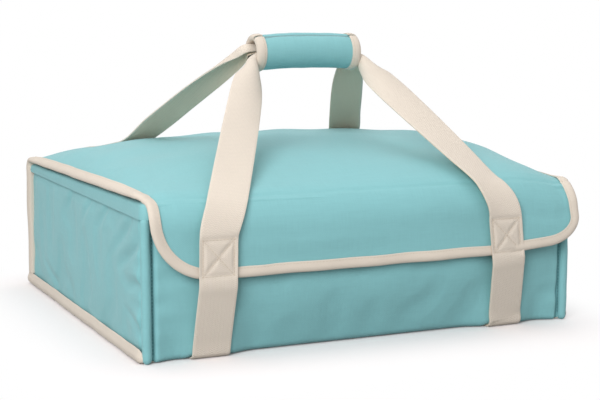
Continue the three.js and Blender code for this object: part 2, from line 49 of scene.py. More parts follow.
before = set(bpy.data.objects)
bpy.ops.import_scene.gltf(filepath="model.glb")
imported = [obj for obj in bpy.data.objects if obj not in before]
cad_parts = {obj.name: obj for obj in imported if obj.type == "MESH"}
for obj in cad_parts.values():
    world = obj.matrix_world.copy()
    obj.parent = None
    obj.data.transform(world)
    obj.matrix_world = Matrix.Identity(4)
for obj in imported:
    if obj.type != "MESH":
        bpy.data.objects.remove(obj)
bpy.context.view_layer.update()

# The bag's places, in metres, from the frame
BASE_LOW, BASE_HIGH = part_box("base_panel")
LINER_LOW, LINER_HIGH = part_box("liner")
LID_LOW, LID_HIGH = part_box("lid_cover")
GIRTH_LOW, GIRTH_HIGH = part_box("left_girth")
LOOP_LOW, LOOP_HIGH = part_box("closure_loop")
FRONT_GRIP_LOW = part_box("front_grip_cover")[0]
BACK_GRIP_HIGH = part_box("back_grip_cover")[1]
GRIP_END_LOW, GRIP_END_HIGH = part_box("front_grip_right_end")
SEAM = 0.0013
HALF_WIDTH = BASE_HIGH.x + SEAM
FRONT_Y = BASE_LOW.y - SEAM
BACK_Y = BASE_HIGH.y + SEAM
BASE_Z = BASE_LOW.z
WALL_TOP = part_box("front_panel")[1].z
MOUTH_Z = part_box("mouth_hem")[1].z
HEM_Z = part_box("mouth_hem")[0].z
WALL = HALF_WIDTH - LINER_HIGH.x + 0.0006
LID_HALF = LID_HIGH.x
LID_BACK = LID_HIGH.y
LID_FRONT = LID_LOW.y
FLAP_EDGE = LID_LOW.z
LID_EDGE = MOUTH_Z + 0.006
WEBBING_WIDTH = GIRTH_HIGH.x - GIRTH_LOW.x
STRAP_FRONT = GIRTH_LOW.y
STRAP_BACK = GIRTH_HIGH.y
STRAP_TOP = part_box("front_webbing")[0].z
GRIP_HALF = GRIP_END_HIGH.x
GRIP_BINDING = GRIP_END_HIGH.x - GRIP_END_LOW.x
GRIP_Y = (FRONT_GRIP_LOW.y + BACK_GRIP_HIGH.y) / 2
GRIP_RADIUS = (BACK_GRIP_HIGH.y - FRONT_GRIP_LOW.y) / 2
GRIP_Z = BACK_GRIP_HIGH.z - GRIP_RADIUS
PAD_RADIUS = GRIP_RADIUS - 0.0012
PAD_BORE = 0.0141

# The lid's form: a crowned middle that falls away to bound edges, which rise towards the front
CROWN = 0.034
CROWN_POWER = 2.5
ARCH_SHARE = {-1: 0.5, 1: 0.3}
ARCH_POWER = 2.4
EDGE_POWER = 16
FOLD_RADIUS = 0.045
FOLD_RISE = 0.0109
EDGE_FOLD_RADIUS = 0.024
EDGE_SET_BACK = 0.001
HINGE_EDGE = LID_EDGE - 0.0005
FRONT_EDGE = LID_EDGE + 0.006
LEFT_CORNER = (0.058, 0.062)
RIGHT_CORNER = (0.036, 0.034)
LEFT_TAPER = 0.0085
RIGHT_TAPER = 0.0015
CORNER_RAISE = 0.0065
RIGHT_DROP = 0.0075
FLAP_LEAN = 0.0035
LID_PUFF = 0.0016
BACK_INSET = 0.0028
BACK_ROWS = 26
TURN_ROWS = 8
TURN_STATION = 0.03
COVER_COLUMNS = 101

# The walls' form: rounded lower edges, a front that draws in below and stands out in the middle, and
# creases on the sides as (side, start, end, depth), with each place as distance from the front and height
WALL_ROUND = 0.006
FRONT_ROUND = 0.006
SIDE_ROUND = 0.004
WALL_SAG = 0.0018
CORD_CORNER = 0.0092
BOW_TOP = 0.085
BOW = 1.3
FRONT_SWELL = 0.0045
HEM_LIFT = (0.0068, 0.0008)
WALL_CREASES = (
    (-1, (0.012, 0.110), (0.085, 0.075), 0.0022), (-1, (0.030, 0.134), (0.105, 0.082), 0.0018),
    (-1, (0.012, 0.075), (0.055, 0.063), 0.0016), (-1, (0.110, 0.134), (0.150, 0.104), 0.0016),
    (-1, (0.165, 0.134), (0.205, 0.100), 0.0014), (-1, (0.240, 0.133), (0.262, 0.108), 0.0013),
    (-1, (0.012, 0.034), (0.070, 0.048), 0.0014), (-1, (0.300, 0.020), (0.380, 0.052), 0.0012),
    (1, (0.012, 0.112), (0.080, 0.080), 0.0020), (1, (0.060, 0.134), (0.130, 0.092), 0.0017),
    (1, (0.012, 0.048), (0.066, 0.060), 0.0014), (1, (0.190, 0.134), (0.235, 0.104), 0.0014))

# Tapes: how far each binding's lip stands past its edge, and the legs as (place, rise) from hem to lip
LID_LIP = 0.0022
BACK_LIP = 0.0052
SEWN_LEG = ((1.0, 0.50), (0.93, 0.72), (0.84, 0.64), (0.74, 0.74), (0.58, 0.92), (0.42, 0.99), (0.28, 1.0))
SOFT_LEG = ((1.0, 0.42), (0.93, 0.60), (0.82, 0.66), (0.68, 0.82), (0.52, 0.95), (0.38, 1.0))

# Linings
FOIL = 0.0008
LINER_GAP = 0.0006
LINER_ROUND = 0.009

# The grip's arch and its seam, which leans forward
GRIP_ARCH = 0.0025
SEAM_TILT = math.radians(25)
SEAM_UP = np.array([0, -math.sin(SEAM_TILT), math.cos(SEAM_TILT)])
SEAM_FRONT = np.array([0, -math.cos(SEAM_TILT), -math.sin(SEAM_TILT)])

# Straps: where they stand, how they bend and how they roll up for the grip
FRONT_STRAPS = {-1: (-0.1675, -0.1655), 1: (0.1575, 0.1450)}
FRONT_TILT = {-1: (0.03, 0.30), 1: (0.24, -0.30)}
BACK_STRAPS = {-1: -0.1685, 1: 0.1525}
BACK_ENTER = {-1: -0.003, 1: -0.0015}
BACK_BEND = 0.0035
FRONT_BEND = {-1: 0.050, 1: 0.053}
FRONT_LEAD = {-1: 0.07, 1: 0.11}
BEND_Z = 0.115
TOE_Z = 0.010
STRAP_STEP = 0.0018
STRAP_POINTS = 31
STRAP_SHIFT = -0.003
SEAM_MARGIN = 0.0035
CURL_TURN = 6.0
CURL_NARROW = 0.55
CURL_FLAT = 0.80
FOOT_LEAN = 0.031
FOOT_SINK = 0.0026
FOOT_STATION = 0.3

# Where the fabric turns from one body to the next
LID_TURN = ((0, BACK_Y, 0.128), (0, BACK_Y - 0.010, 0.152))
LINING_TURN = ((0, 0.2125, 0.125), (0, 0.2000, 0.150))
FRONT_TURN = ((0, STRAP_FRONT, 0.048), (0, STRAP_FRONT - 0.015, 0.074))
BACK_TURN = ((0, 0.190, 0.158), (0, 0.150, 0.172))

# The cloth solver
SOLVER_FRAMES = 18
EASE_PASSES = 10

# The studio: lamps as (place, size, power), floor and world, and the camera
KEY_LAMP = ((-1.7, -1.8, 1.3), 1.5, 50)
TOP_LAMP = ((0.2, 0.3, 2.6), 2.4, 24)
LAMP_TARGET = (0, 0, 0.1)
WORLD_LIGHT = 0.54
FLOOR_REACH = 12.0
FLOOR_TINT = (0.97, 0.92, 0.92)
FLOOR_BOUNCE = 0.36
SHADOW_SHIFT = (0.022, 0.02, 0.0)
SHADOW_HALF = (0.2, 0.2, 0.0)
SHADOW_FADE = (0.01, 0.14)
CAMERA_PLACE = Vector((-0.6231, -1.4125, 0.3310))
CAMERA_YAW = math.radians(24.41)
CAMERA_PITCH = math.radians(7.97)
CAMERA_LENS = 84.0

# What is made on the way: materials by name, and the finished forms that later pieces are laid on
FINISHES = {}
FORMS = {"body_lines": [], "seam_shade_lines": []}


class BagSizes(bpy.types.PropertyGroup):
    """Sizes that a maker would change."""

    cloth: bpy.props.FloatProperty(
        name="Cloth", description="Thickness of the cover cloth", default=0.001, unit="LENGTH")
    webbing_width: bpy.props.FloatProperty(
        name="Webbing width", description="Width of the straps",
        default=WEBBING_WIDTH, unit="LENGTH")
    webbing: bpy.props.FloatProperty(
        name="Webbing", description="Thickness of the straps", default=0.002, unit="LENGTH")
    binding_width: bpy.props.FloatProperty(
        name="Binding width", description="Width of each leg of the bias binding",
        default=0.0098, unit="LENGTH")
    piping_radius: bpy.props.FloatProperty(
        name="Piping radius", description="Radius of the piped front corners",
        default=0.0046, unit="LENGTH")
    swell: bpy.props.FloatProperty(
        name="Wall swell", description="How far the padded walls stand out", default=0.003, unit="LENGTH")
    crease: bpy.props.FloatProperty(
        name="Fold crease", description="Depth of the crease across the lid's fold",
        default=0.0011, unit="LENGTH")
    corner_curl: bpy.props.FloatProperty(
        name="Corner curl", description="How far the flap's right corner lifts off the wall",
        default=0.0058, unit="LENGTH")
    slack: bpy.props.FloatProperty(
        name="Slack", description="Spare cloth over the padding", default=0.02, subtype="FACTOR")
    stitch_pitch: bpy.props.FloatProperty(
        name="Stitch pitch", description="Distance from stitch to stitch", default=0.0034, unit="LENGTH")
    stitch_length: bpy.props.FloatProperty(
        name="Stitch length", description="Length of one stitch", default=0.0030, unit="LENGTH")
    stitch_radius: bpy.props.FloatProperty(
        name="Stitch radius", description="Half the thickness of the thread", default=0.0004, unit="LENGTH")


def colour_property(name, description, red, green, blue):
    """A colour property from the screen values, 0 to 255, that the finish has in plain light."""
    return bpy.props.FloatVectorProperty(
        name=name, description=description, subtype="COLOR", size=3, min=0, max=1,
        default=[((v / 255 + 0.055) / 1.055) ** 2.4 for v in (red, green, blue)])


class BagColours(bpy.types.PropertyGroup):
    """Colours of the bag's finishes."""

    cloth: colour_property("Cloth", "Cover cloth", 132, 189, 193)
    webbing: colour_property("Webbing", "Straps", 225, 213, 199)
    # Painted light: a warmer colour for the straps' inner face, which cancels the teal light that the lid
    # bounces onto it.
    webbing_under_painted_light: colour_property("Webbing underside", "Inner face of the straps", 231, 211, 189)
    binding: colour_property("Binding", "Bias binding", 218, 206, 192)
    thread: colour_property("Thread", "Sewing thread on the cream parts", 208, 194, 176)
    # Painted shade: the cloth thread is far darker than the cloth, so that its stitch lines beside the
    # piping and under the hem read as the shade in those grooves.
    cloth_thread: colour_property("Cloth thread", "Sewing thread on the cloth", 66, 112, 116)
    lining: colour_property("Lining", "Foil lining", 196, 199, 202)
    closure: colour_property("Closure", "Hook and loop tape", 116, 160, 164)
    board: colour_property("Board", "Stiffener in the base", 122, 108, 90)


# Small maths

def lerp(a, b, t):
    return a + (b - a) * t


def smooth(x, low, high):
    """0 below low, 1 above high and a smooth step between."""
    t = np.clip((x - low) / (high - low), 0, 1)
    return t * t * (3 - 2 * t)


def hump(x, centre, width):
    return np.exp(-((x - centre) / width) ** 2)


def unit(vectors):
    return vectors / np.maximum(np.linalg.norm(vectors, axis=-1, keepdims=True), 1e-12)


def spread(grid, axis):
    """Distance along a grid's rows or columns, from its first point."""
    steps = np.linalg.norm(np.diff(grid, axis=axis), axis=-1)
    return np.concatenate([np.zeros_like(np.take(steps, [0], axis)), np.cumsum(steps, axis)], axis)


def grid_normals(grid):
    """Normals of a grid whose columns, taken after its rows, turn right-handed about the outside."""
    return unit(np.cross(np.gradient(grid, axis=0), np.gradient(grid, axis=1)))


def ripple(a, b, seed, longest=0.22, shortest=0.07, count=9):
    """Soft uneven waves over a cloth, from about -1 to 1."""
    dice = np.random.default_rng(seed)
    total = np.zeros(np.broadcast(a, b).shape)
    for _ in range(count):
        wave = 2 * math.pi / dice.uniform(shortest, longest)
        turn = dice.uniform(0, math.pi)
        phase = dice.uniform(0, 2 * math.pi)
        total += np.cos(wave * (a * math.cos(turn) + b * math.sin(turn)) + phase)
    return total / math.sqrt(count)


def path_through(points, step):
    """A smooth path through points of any width, sampled about every step along its first three values."""
    points = np.asarray(points, float)
    ends = np.vstack([2 * points[0] - points[1], points, 2 * points[-1] - points[-2]])
    knots = np.concatenate([[0], np.cumsum(np.sqrt(np.linalg.norm(np.diff(ends[:, :3], axis=0), axis=1)))])
    out = []
    for i in range(1, len(ends) - 2):
        p0, p1, p2, p3 = ends[i - 1:i + 3]
        t0, t1, t2, t3 = knots[i - 1:i + 3]
        count = max(2, int(np.linalg.norm(p2[:3] - p1[:3]) / step))
        for t in np.linspace(t1, t2, count, endpoint=False):
            a1 = lerp(p0, p1, (t - t0) / (t1 - t0))
            a2 = lerp(p1, p2, (t - t1) / (t2 - t1))
            a3 = lerp(p2, p3, (t - t2) / (t3 - t2))
            b1 = lerp(a1, a2, (t - t0) / (t2 - t0))
            b2 = lerp(a2, a3, (t - t1) / (t3 - t1))
            out.append(lerp(b1, b2, (t - t1) / (t2 - t1)))
    out.append(points[-1])
    return np.array(out)


# Meshes and the cloth solver

class Cut:
    """The faces of one piece, with a flat-cloth coordinate in metres at every corner."""

    def __init__(self):
        self.points = []
        self.faces = []
        self.flats = []

    def add(self, points, faces, flats):
        first = len(self.points)
        self.points.extend(np.asarray(points, float).tolist())
        self.faces.extend([[first + i for i in face] for face in faces])
        self.flats.extend(flats)

    def shell(self, outer, inner, flat):
        """A sheet with a thickness: two grids joined round their rim."""
        rows, cols = outer.shape[:2]
        count = rows * cols
        index = np.arange(count).reshape(rows, cols)
        corners = [index[:-1, :-1], index[:-1, 1:], index[1:, 1:], index[1:, :-1]]
        front = np.stack(corners, -1).reshape(-1, 4)
        back = front[:, ::-1] + count
        rim = np.concatenate([index[0], index[1:, -1], index[-1, -2::-1], index[-2:0:-1, 0]])
        after = np.roll(rim, -1)
        edge = np.stack([rim, rim + count, after + count, after], -1)
        faces = np.concatenate([front, back, edge])
        flats = np.tile(flat.reshape(-1, 2), (2, 1))[faces]
        both = np.concatenate([outer.reshape(-1, 3), inner.reshape(-1, 3)])
        self.add(both, faces.tolist(), flats.tolist())

    def cup(self, inner, outer):
        """A cup with a thickness: two runs of closed rings, joined at the mouth and closed below."""
        count, size = inner.shape[:2]
        index = np.arange(count * size).reshape(count, size)
        after = np.roll(index, -1, axis=1)
        front = np.stack([index[:-1], after[:-1], after[1:], index[1:]], -1).reshape(-1, 4)
        rim = np.stack([index[0], index[0] + count * size, after[0] + count * size, after[0]], -1)
        faces = np.concatenate([front, front[:, ::-1] + count * size, rim]).tolist()
        faces += [index[-1].tolist(), (index[-1][::-1] + count * size).tolist()]
        points = np.concatenate([inner.reshape(-1, 3), outer.reshape(-1, 3)])
        flats = [[[points[i][0], points[i][1] + points[i][2]] for i in face] for face in faces]
        self.add(points, faces, flats)

    def sweep(self, rings, along):
        """A run of closed outlines with capped ends, mapped flat round the outline and along the run."""
        count, size = rings.shape[:2]
        outline = rings[count // 3]
        around = spread(np.vstack([outline, outline[:1]]), 0)
        faces, flats = [], []
        for i in range(count - 1):
            for j in range(size):
                n = (j + 1) % size
                faces.append([i * size + j, i * size + n, (i + 1) * size + n, (i + 1) * size + j])
                flats.append([[around[j], along[i]], [around[j + 1], along[i]],
                              [around[j + 1], along[i + 1]], [around[j], along[i + 1]]])
        for i, order in ((0, range(size - 1, -1, -1)), (count - 1, range(size))):
            faces.append([i * size + j for j in order])
            flats.append([[around[j], along[i]] for j in order])
        self.add(rings.reshape(-1, 3), faces, flats)

    def make(self, name, material, sharp=50):
        """The finished object, smooth shaded, with its faces pointing out."""
        mesh = bpy.data.meshes.new(name)
        mesh.from_pydata(self.points, [], self.faces)
        layer = mesh.uv_layers.new(name="cloth")
        layer.data.foreach_set("uv", np.concatenate([np.ravel(f) for f in self.flats]))
        work = bmesh.new()
        work.from_mesh(mesh)
        bmesh.ops.recalc_face_normals(work, faces=work.faces)
        work.to_mesh(mesh)
        work.free()
        mesh.shade_smooth()
        mesh.set_sharp_from_angle(angle=math.radians(sharp))
        mesh.materials.append(material)
        piece = bpy.data.objects.new(name, mesh)
        bpy.context.scene.collection.objects.link(piece)
        return piece


def solve_cloth(grid, hold, slack, push, bending):
    """Where Blender's cloth solver leaves a grid. hold is how firmly each point is held, 0 to 1."""
    scene = bpy.context.scene
    rows, cols = grid.shape[:2]
    index = np.arange(rows * cols).reshape(rows, cols)
    quads = np.stack([index[:-1, :-1], index[1:, :-1], index[1:, 1:], index[:-1, 1:]], -1)
    mesh = bpy.data.meshes.new("settling")
    mesh.from_pydata(grid.reshape(-1, 3).tolist(), [], quads.reshape(-1, 4).tolist())
    sheet = bpy.data.objects.new("settling", mesh)
    scene.collection.objects.link(sheet)
    group = sheet.vertex_groups.new(name="hold")
    levels = np.round(np.clip(hold, 0, 1).ravel(), 2)
    for level in np.unique(levels):
        group.add(np.flatnonzero(levels == level).tolist(), float(level), "REPLACE")
    cloth = sheet.modifiers.new("Cloth", "CLOTH")
    cloth.settings.quality = 4
    cloth.settings.mass = 0.2
    cloth.settings.tension_stiffness = 20
    cloth.settings.compression_stiffness = 20
    cloth.settings.shear_stiffness = 8
    cloth.settings.bending_stiffness = bending
    cloth.settings.air_damping = 4
    cloth.settings.vertex_group_mass = "hold"
    cloth.settings.pin_stiffness = 1
    cloth.settings.shrink_min = -slack
    cloth.settings.use_pressure = True
    cloth.settings.uniform_pressure_force = push
    cloth.settings.effector_weights.gravity = 0
    cloth.collision_settings.use_collision = False
    cloth.collision_settings.use_self_collision = False
    for number in range(1, SOLVER_FRAMES + 1):
        scene.frame_set(number)
    shown = sheet.evaluated_get(bpy.context.evaluated_depsgraph_get())
    moved = np.empty(rows * cols * 3)
    shown.data.vertices.foreach_get("co", moved)
    bpy.data.objects.remove(sheet)
    bpy.data.meshes.remove(mesh)
    scene.frame_set(1)
    return moved.reshape(rows, cols, 3)


def settle(grid, hold, slack, push, most_out, most_in, bending, step=1):
    """A cloth grid after its spare length has wrinkled over the padding. It is solved
    on every step-th row and column, and its moves are eased and capped."""
    picks = [np.unique(np.append(np.arange(0, size, step), size - 1)) for size in grid.shape[:2]]
    coarse = grid[np.ix_(*picks)]
    moved = solve_cloth(coarse, hold[np.ix_(*picks)], slack, push, bending)
    between = [np.array([np.interp(np.arange(size), pick, one) for one in np.eye(len(pick))])
               for size, pick in zip(grid.shape[:2], picks)]
    delta = np.einsum("ai,bj,abk->ijk", *between, moved - coarse, optimize=True)
    for axis in (0, 1) * EASE_PASSES:
        delta = (np.roll(delta, 1, axis) + 2 * delta + np.roll(delta, -1, axis)) / 4
    normals = grid_normals(grid)
    rise = np.sum(delta * normals, axis=-1, keepdims=True)
    slide = delta - rise * normals
    length = np.linalg.norm(slide, axis=-1, keepdims=True)
    slide *= np.minimum(1, most_in / np.maximum(length, 1e-9))
    return grid + slide + np.clip(rise, -most_in, most_out) * normals


# Materials

class Wire:
    """A socket of a material's tree. Arithmetic on it adds Math nodes."""

    def __init__(self, paint, socket):
        self.paint = paint
        self.socket = socket

    def math(self, operation, *values):
        return self.paint.node("ShaderNodeMath", {"operation": operation}, dict(enumerate(values)))

    def __add__(self, other):
        return self.math("ADD", self, other)

    def __radd__(self, other):
        return self.math("ADD", other, self)

    def __sub__(self, other):
        return self.math("SUBTRACT", self, other)

    def __rsub__(self, other):
        return self.math("SUBTRACT", other, self)

    def __mul__(self, other):
        return self.math("MULTIPLY", self, other)

    def __rmul__(self, other):
        return self.math("MULTIPLY", other, self)

    def wave(self, pitch):
        """A sine wave along this value, from -1 to 1."""
        turns = self * (2 * math.pi / pitch)
        return turns.math("SINE", turns)


class Paint:
    """One material, or the world, being mixed."""

    def __init__(self, name, world=None):
        self.material = world or bpy.data.materials.new(name)
        self.material.use_nodes = True
        self.tree = self.material.node_tree
        self.tree.nodes.clear()

    def node(self, kind, settings=None, sockets=None, output=0):
        """A new node of any kind: its settings, then values or wires for its sockets. Gives one output."""
        made = self.tree.nodes.new(kind)
        for key, value in (settings or {}).items():
            setattr(made, key, value)
        for key, value in (sockets or {}).items():
            socket = made.inputs[key] if isinstance(key, int) else self.find(made.inputs, key)
            if isinstance(value, Wire):
                self.tree.links.new(value.socket, socket)
            else:
                socket.default_value = value
        found = made.outputs[output] if isinstance(output, int) else self.find(made.outputs, output)
        return Wire(self, found)

    @staticmethod
    def find(sockets, key):
        for socket in sockets:
            if socket.identifier == key or socket.name == key:
                return socket
        raise KeyError(key)

    def flat(self):
        """The piece's flat-cloth coordinate, as two values in metres."""
        place = self.node("ShaderNodeUVMap", {"uv_map": "cloth"})
        return [self.node("ShaderNodeSeparateXYZ", None, {"Vector": place}, axis) for axis in "XY"]

    def place(self):
        return self.node("ShaderNodeTexCoord", None, None, "Object")

    def noise(self, vector, scale, detail=2.0, roughness=0.5):
        return self.node("ShaderNodeTexNoise", None, {
            "Vector": vector, "Scale": scale, "Detail": detail, "Roughness": roughness})

    def vector(self, x, y, z):
        return self.node("ShaderNodeCombineXYZ", None, {"X": x, "Y": y, "Z": z})

    def shade(self, colour, amount):
        """A colour made lighter or darker by a value about 1."""
        return self.node("ShaderNodeVectorMath", {"operation": "SCALE"}, {
            "Vector": colour if isinstance(colour, Wire) else tuple(colour), "Scale": amount})

    def bump(self, height, strength=1.0):
        return self.node("ShaderNodeBump", None, {"Height": height, "Strength": strength, "Distance": 1.0})

    def finish(self, **sockets):
        """The shader and the material's output. Socket names have underscores for spaces."""
        shader = self.node("ShaderNodeBsdfPrincipled", None, {
            key.replace("_", " "): value for key, value in sockets.items()})
        self.node_output(shader)
        return self.material

    def node_output(self, shader, kind="ShaderNodeOutputMaterial"):
        made = self.tree.nodes.new(kind)
        self.tree.links.new(shader.socket, made.inputs["Surface"])

    def background_ray(self):
        """1 for a ray that shows the background: straight from the camera, off metal or through glass."""
        camera, glossy, through = [self.node("ShaderNodeLightPath", None, None, f"Is {kind} Ray")
                                   for kind in ("Camera", "Glossy", "Transmission")]
        return camera + glossy + through


def cloth_finish(colours):
    """Coated polyester canvas: a fine plain weave, slubs, soft mottling and shallow creases."""
    paint = Paint("teal_canvas")
    across, along = paint.flat()
    place = paint.place()
    weave = across.wave(0.0016) * along.wave(0.0016)
    mottle = paint.noise(place, 11.0, 3.0) - 0.5
    slub_across = paint.noise(paint.vector(across * 900.0, along * 45.0, 0.0), 1.0, 2.0) - 0.5
    slub_along = paint.noise(paint.vector(across * 45.0, along * 900.0, 3.7), 1.0, 2.0) - 0.5
    crease = paint.noise(place, 42.0, 4.0, 0.55)
    tone = 1.0 + mottle * 0.10 + weave * 0.035 + (slub_across + slub_along) * 0.09
    height = weave * 0.00011 + (slub_across + slub_along) * 0.0001 + crease * 0.0011
    return paint.finish(
        Base_Color=paint.shade(colours.cloth, tone), Roughness=0.62 + mottle * 0.12,
        Normal=paint.bump(height, 0.75), Sheen_Weight=0.12, Sheen_Roughness=0.45, Specular_IOR_Level=0.35)


def webbing_finish(colours):
    """Flat woven webbing: a herringbone of fat yarns between two plain edges, and a warmer inner face that
    is painted light against the teal light the lid bounces onto the straps' undersides.
    """
    paint = Paint("cream_webbing")
    across, along = paint.flat()
    place = paint.place()
    rib = across.wave(0.0042)
    twill = (along + rib * 0.0006).wave(0.0019)
    yarn = across.wave(0.0014)
    edge = 0.0012
    # The inner face takes the warmer underside colour: painted light against the teal bounce from the lid.
    inner_face = 1.5 * WEBBING_WIDTH + edge
    under = across.math("COMPARE", across, inner_face, WEBBING_WIDTH / 2 - edge / 3)
    colour = paint.node("ShaderNodeMix", {"data_type": "RGBA"}, {
        "Factor_Float": under, "A_Color": (*colours.webbing, 1),
        "B_Color": (*colours.webbing_under_painted_light, 1)}, "Result_Color")
    dirt = paint.noise(place, 24.0, 3.0) - 0.5
    fibre = paint.noise(paint.vector(across * 1500.0, along * 300.0, 0.0), 1.0, 2.0) - 0.5
    tone = 1.0 + twill * 0.055 + yarn * 0.02 + dirt * 0.06 + fibre * 0.12
    height = twill * 0.00016 + yarn * 0.00006 + fibre * 0.0001
    return paint.finish(
        Base_Color=paint.shade(colour, tone), Roughness=0.78 + dirt * 0.1,
        Normal=paint.bump(height, 0.8), Sheen_Weight=0.12, Sheen_Roughness=0.5, Specular_IOR_Level=0.25)


def binding_finish(colours):
    """Bias binding: fine ribs across the tape, with a little grime."""
    paint = Paint("cream_binding")
    across, along = paint.flat()
    place = paint.place()
    rib = along.wave(0.0011)
    grime = paint.noise(place, 30.0, 4.0) - 0.5
    fibre = paint.noise(paint.vector(across * 600.0, along * 1500.0, 0.0), 1.0, 2.0) - 0.5
    tone = 1.0 + rib * 0.04 + grime * 0.10 + fibre * 0.08
    height = rib * 0.00008 + fibre * 0.0001
    return paint.finish(
        Base_Color=paint.shade(colours.binding, tone), Roughness=0.8 + grime * 0.1,
        Normal=paint.bump(height, 0.8), Sheen_Weight=0.1, Specular_IOR_Level=0.25)


def thread_finish(name, colour):
    """Twisted sewing thread."""
    paint = Paint(name)
    place = paint.place()
    twist = paint.noise(place, 2200.0, 1.0) - 0.5
    return paint.finish(
        Base_Color=paint.shade(colour, 1.0 + twist * 0.3), Roughness=0.7 + twist * 0.1,
        Sheen_Weight=0.1, Specular_IOR_Level=0.3)


def foil_finish(colours):
    """Foil-faced insulating lining, crinkled all over."""
    paint = Paint("foil_lining")
    place = paint.place()
    crinkle = paint.node("ShaderNodeTexVoronoi", {"feature": "DISTANCE_TO_EDGE"}, {
        "Vector": place, "Scale": 55.0, "Randomness": 1.0}, "Distance")
    fine = paint.noise(place, 160.0, 4.0)
    tone = 0.92 + fine * 0.16
    return paint.finish(
        Base_Color=paint.shade(colours.lining, tone), Metallic=0.85, Roughness=0.44 + fine * 0.2,
        Normal=paint.bump(crinkle * 0.004 + fine * 0.0012, 0.6))


def closure_finish(colours):
    """Hook and loop tape: a dense pile of tiny loops."""
    paint = Paint("closure_tape")
    place = paint.place()
    pile = paint.noise(place, 900.0, 3.0, 0.7)
    edge = paint.noise(place, 40.0, 2.0) - 0.5
    return paint.finish(
        Base_Color=paint.shade(colours.closure, 0.75 + pile * 0.5 + edge * 0.1),
        Roughness=0.75 + pile * 0.2,
        Normal=paint.bump(pile * 0.0008, 0.8), Sheen_Weight=0.3)


def board_finish(colours):
    """Grey-brown fibre board."""
    paint = Paint("fibre_board")
    place = paint.place()
    fibre = paint.noise(place, 320.0, 5.0, 0.65)
    return paint.finish(
        Base_Color=paint.shade(colours.board, 0.8 + fibre * 0.4), Roughness=0.75 + fibre * 0.2,
        Normal=paint.bump(fibre * 0.0003, 0.6))


def make_finishes(colours):
    """Every material of the bag."""
    FINISHES.update(
        cloth=cloth_finish(colours), webbing=webbing_finish(colours), binding=binding_finish(colours),
        thread=thread_finish("cream_thread", colours.thread),
        cloth_thread=thread_finish("teal_seam_shade_thread", colours.cloth_thread),
        foil=foil_finish(colours), closure=closure_finish(colours), board=board_finish(colours))


# Stitches

def stitch_tree():
    """Geometry nodes that lay thread stitches along polylines."""
    tree = bpy.data.node_groups.new("Stitches", "GeometryNodeTree")
    tree.interface.new_socket("Lines", in_out="INPUT", socket_type="NodeSocketGeometry")
    for name in ("Pitch", "Length", "Radius"):
        tree.interface.new_socket(name, in_out="INPUT", socket_type="NodeSocketFloat")
    tree.interface.new_socket("Thread", in_out="INPUT", socket_type="NodeSocketMaterial")
    tree.interface.new_socket("Stitches", in_out="OUTPUT", socket_type="NodeSocketGeometry")

    def add(kind, **settings):
        made = tree.nodes.new(kind)
        for key, value in settings.items():
            setattr(made, key, value)
        return made

    def join(source, output, target, name):
        tree.links.new(source.outputs[output], target.inputs[name])

    entry = add("NodeGroupInput")
    curve = add("GeometryNodeMeshToCurve")
    even = add("GeometryNodeResampleCurve", mode="LENGTH")
    points = add("GeometryNodeCurveToPoints", mode="EVALUATED")
    bead = add("GeometryNodeMeshUVSphere")
    size = add("ShaderNodeCombineXYZ")
    half = add("ShaderNodeMath", operation="MULTIPLY")
    shape = add("GeometryNodeTransform")
    place = add("GeometryNodeInstanceOnPoints")
    real = add("GeometryNodeRealizeInstances")
    round_off = add("GeometryNodeSetShadeSmooth")
    paint = add("GeometryNodeSetMaterial")
    result = add("NodeGroupOutput")
    bead.inputs["Segments"].default_value = 6
    bead.inputs["Rings"].default_value = 4
    bead.inputs["Radius"].default_value = 1.0
    half.inputs[1].default_value = 0.5
    join(entry, "Lines", curve, "Mesh")
    join(curve, "Curve", even, "Curve")
    join(entry, "Pitch", even, "Length")
    join(even, "Curve", points, "Curve")
    join(points, "Points", place, "Points")
    join(points, "Rotation", place, "Rotation")
    join(entry, "Length", half, 0)
    join(entry, "Radius", size, "X")
    join(entry, "Radius", size, "Y")
    join(half, "Value", size, "Z")
    join(bead, "Mesh", shape, "Geometry")
    join(size, "Vector", shape, "Scale")
    join(shape, "Geometry", place, "Instance")
    join(place, "Instances", real, "Geometry")
    join(real, "Geometry", round_off, "Geometry")
    join(round_off, "Geometry", paint, "Geometry")
    join(entry, "Thread", paint, "Material")
    join(paint, "Geometry", result, "Stitches")
    return tree


def sew(name, lines, material, sizes):
    """Stitches along the lines, as one plain mesh."""
    tree = bpy.data.node_groups.get("Stitches") or stitch_tree()
    points, edges = [], []
    for line in lines:
        first = len(points)
        points.extend(np.asarray(line).tolist())
        edges.extend((first + i, first + i + 1) for i in range(len(line) - 1))
    mesh = bpy.data.meshes.new(name + "_lines")
    mesh.from_pydata(points, edges, [])
    guide = bpy.data.objects.new(name + "_lines", mesh)
    bpy.context.scene.collection.objects.link(guide)
    machine = guide.modifiers.new("Stitches", "NODES")
    machine.node_group = tree
    values = {"Pitch": sizes.stitch_pitch, "Length": sizes.stitch_length,
              "Radius": sizes.stitch_radius, "Thread": material}
    for item in tree.interface.items_tree:
        if item.in_out == "INPUT" and item.name in values:
            machine[item.identifier] = values[item.name]
    shown = guide.evaluated_get(bpy.context.evaluated_depsgraph_get())
    made = bpy.data.objects.new(name, bpy.data.meshes.new_from_object(shown))
    bpy.data.objects.remove(guide)
    bpy.data.meshes.remove(mesh)
    bpy.context.scene.collection.objects.link(made)
    if not made.data.polygons:
        raise RuntimeError(f"{name}: no stitches came out")
    return made


# The cover's form

def lid_profile(crown, radius, front, top):
    """One section through the lid from back to front: its crown, fold radius and the fold's centre."""
    return crown, radius, front + radius, top - radius


CROWN_PROFILE = lid_profile(CROWN, FOLD_RADIUS, LID_FRONT, LID_EDGE + FOLD_RISE)
EDGE_PROFILE = lid_profile(0.0, EDGE_FOLD_RADIUS, LID_FRONT + EDGE_SET_BACK, FRONT_EDGE)


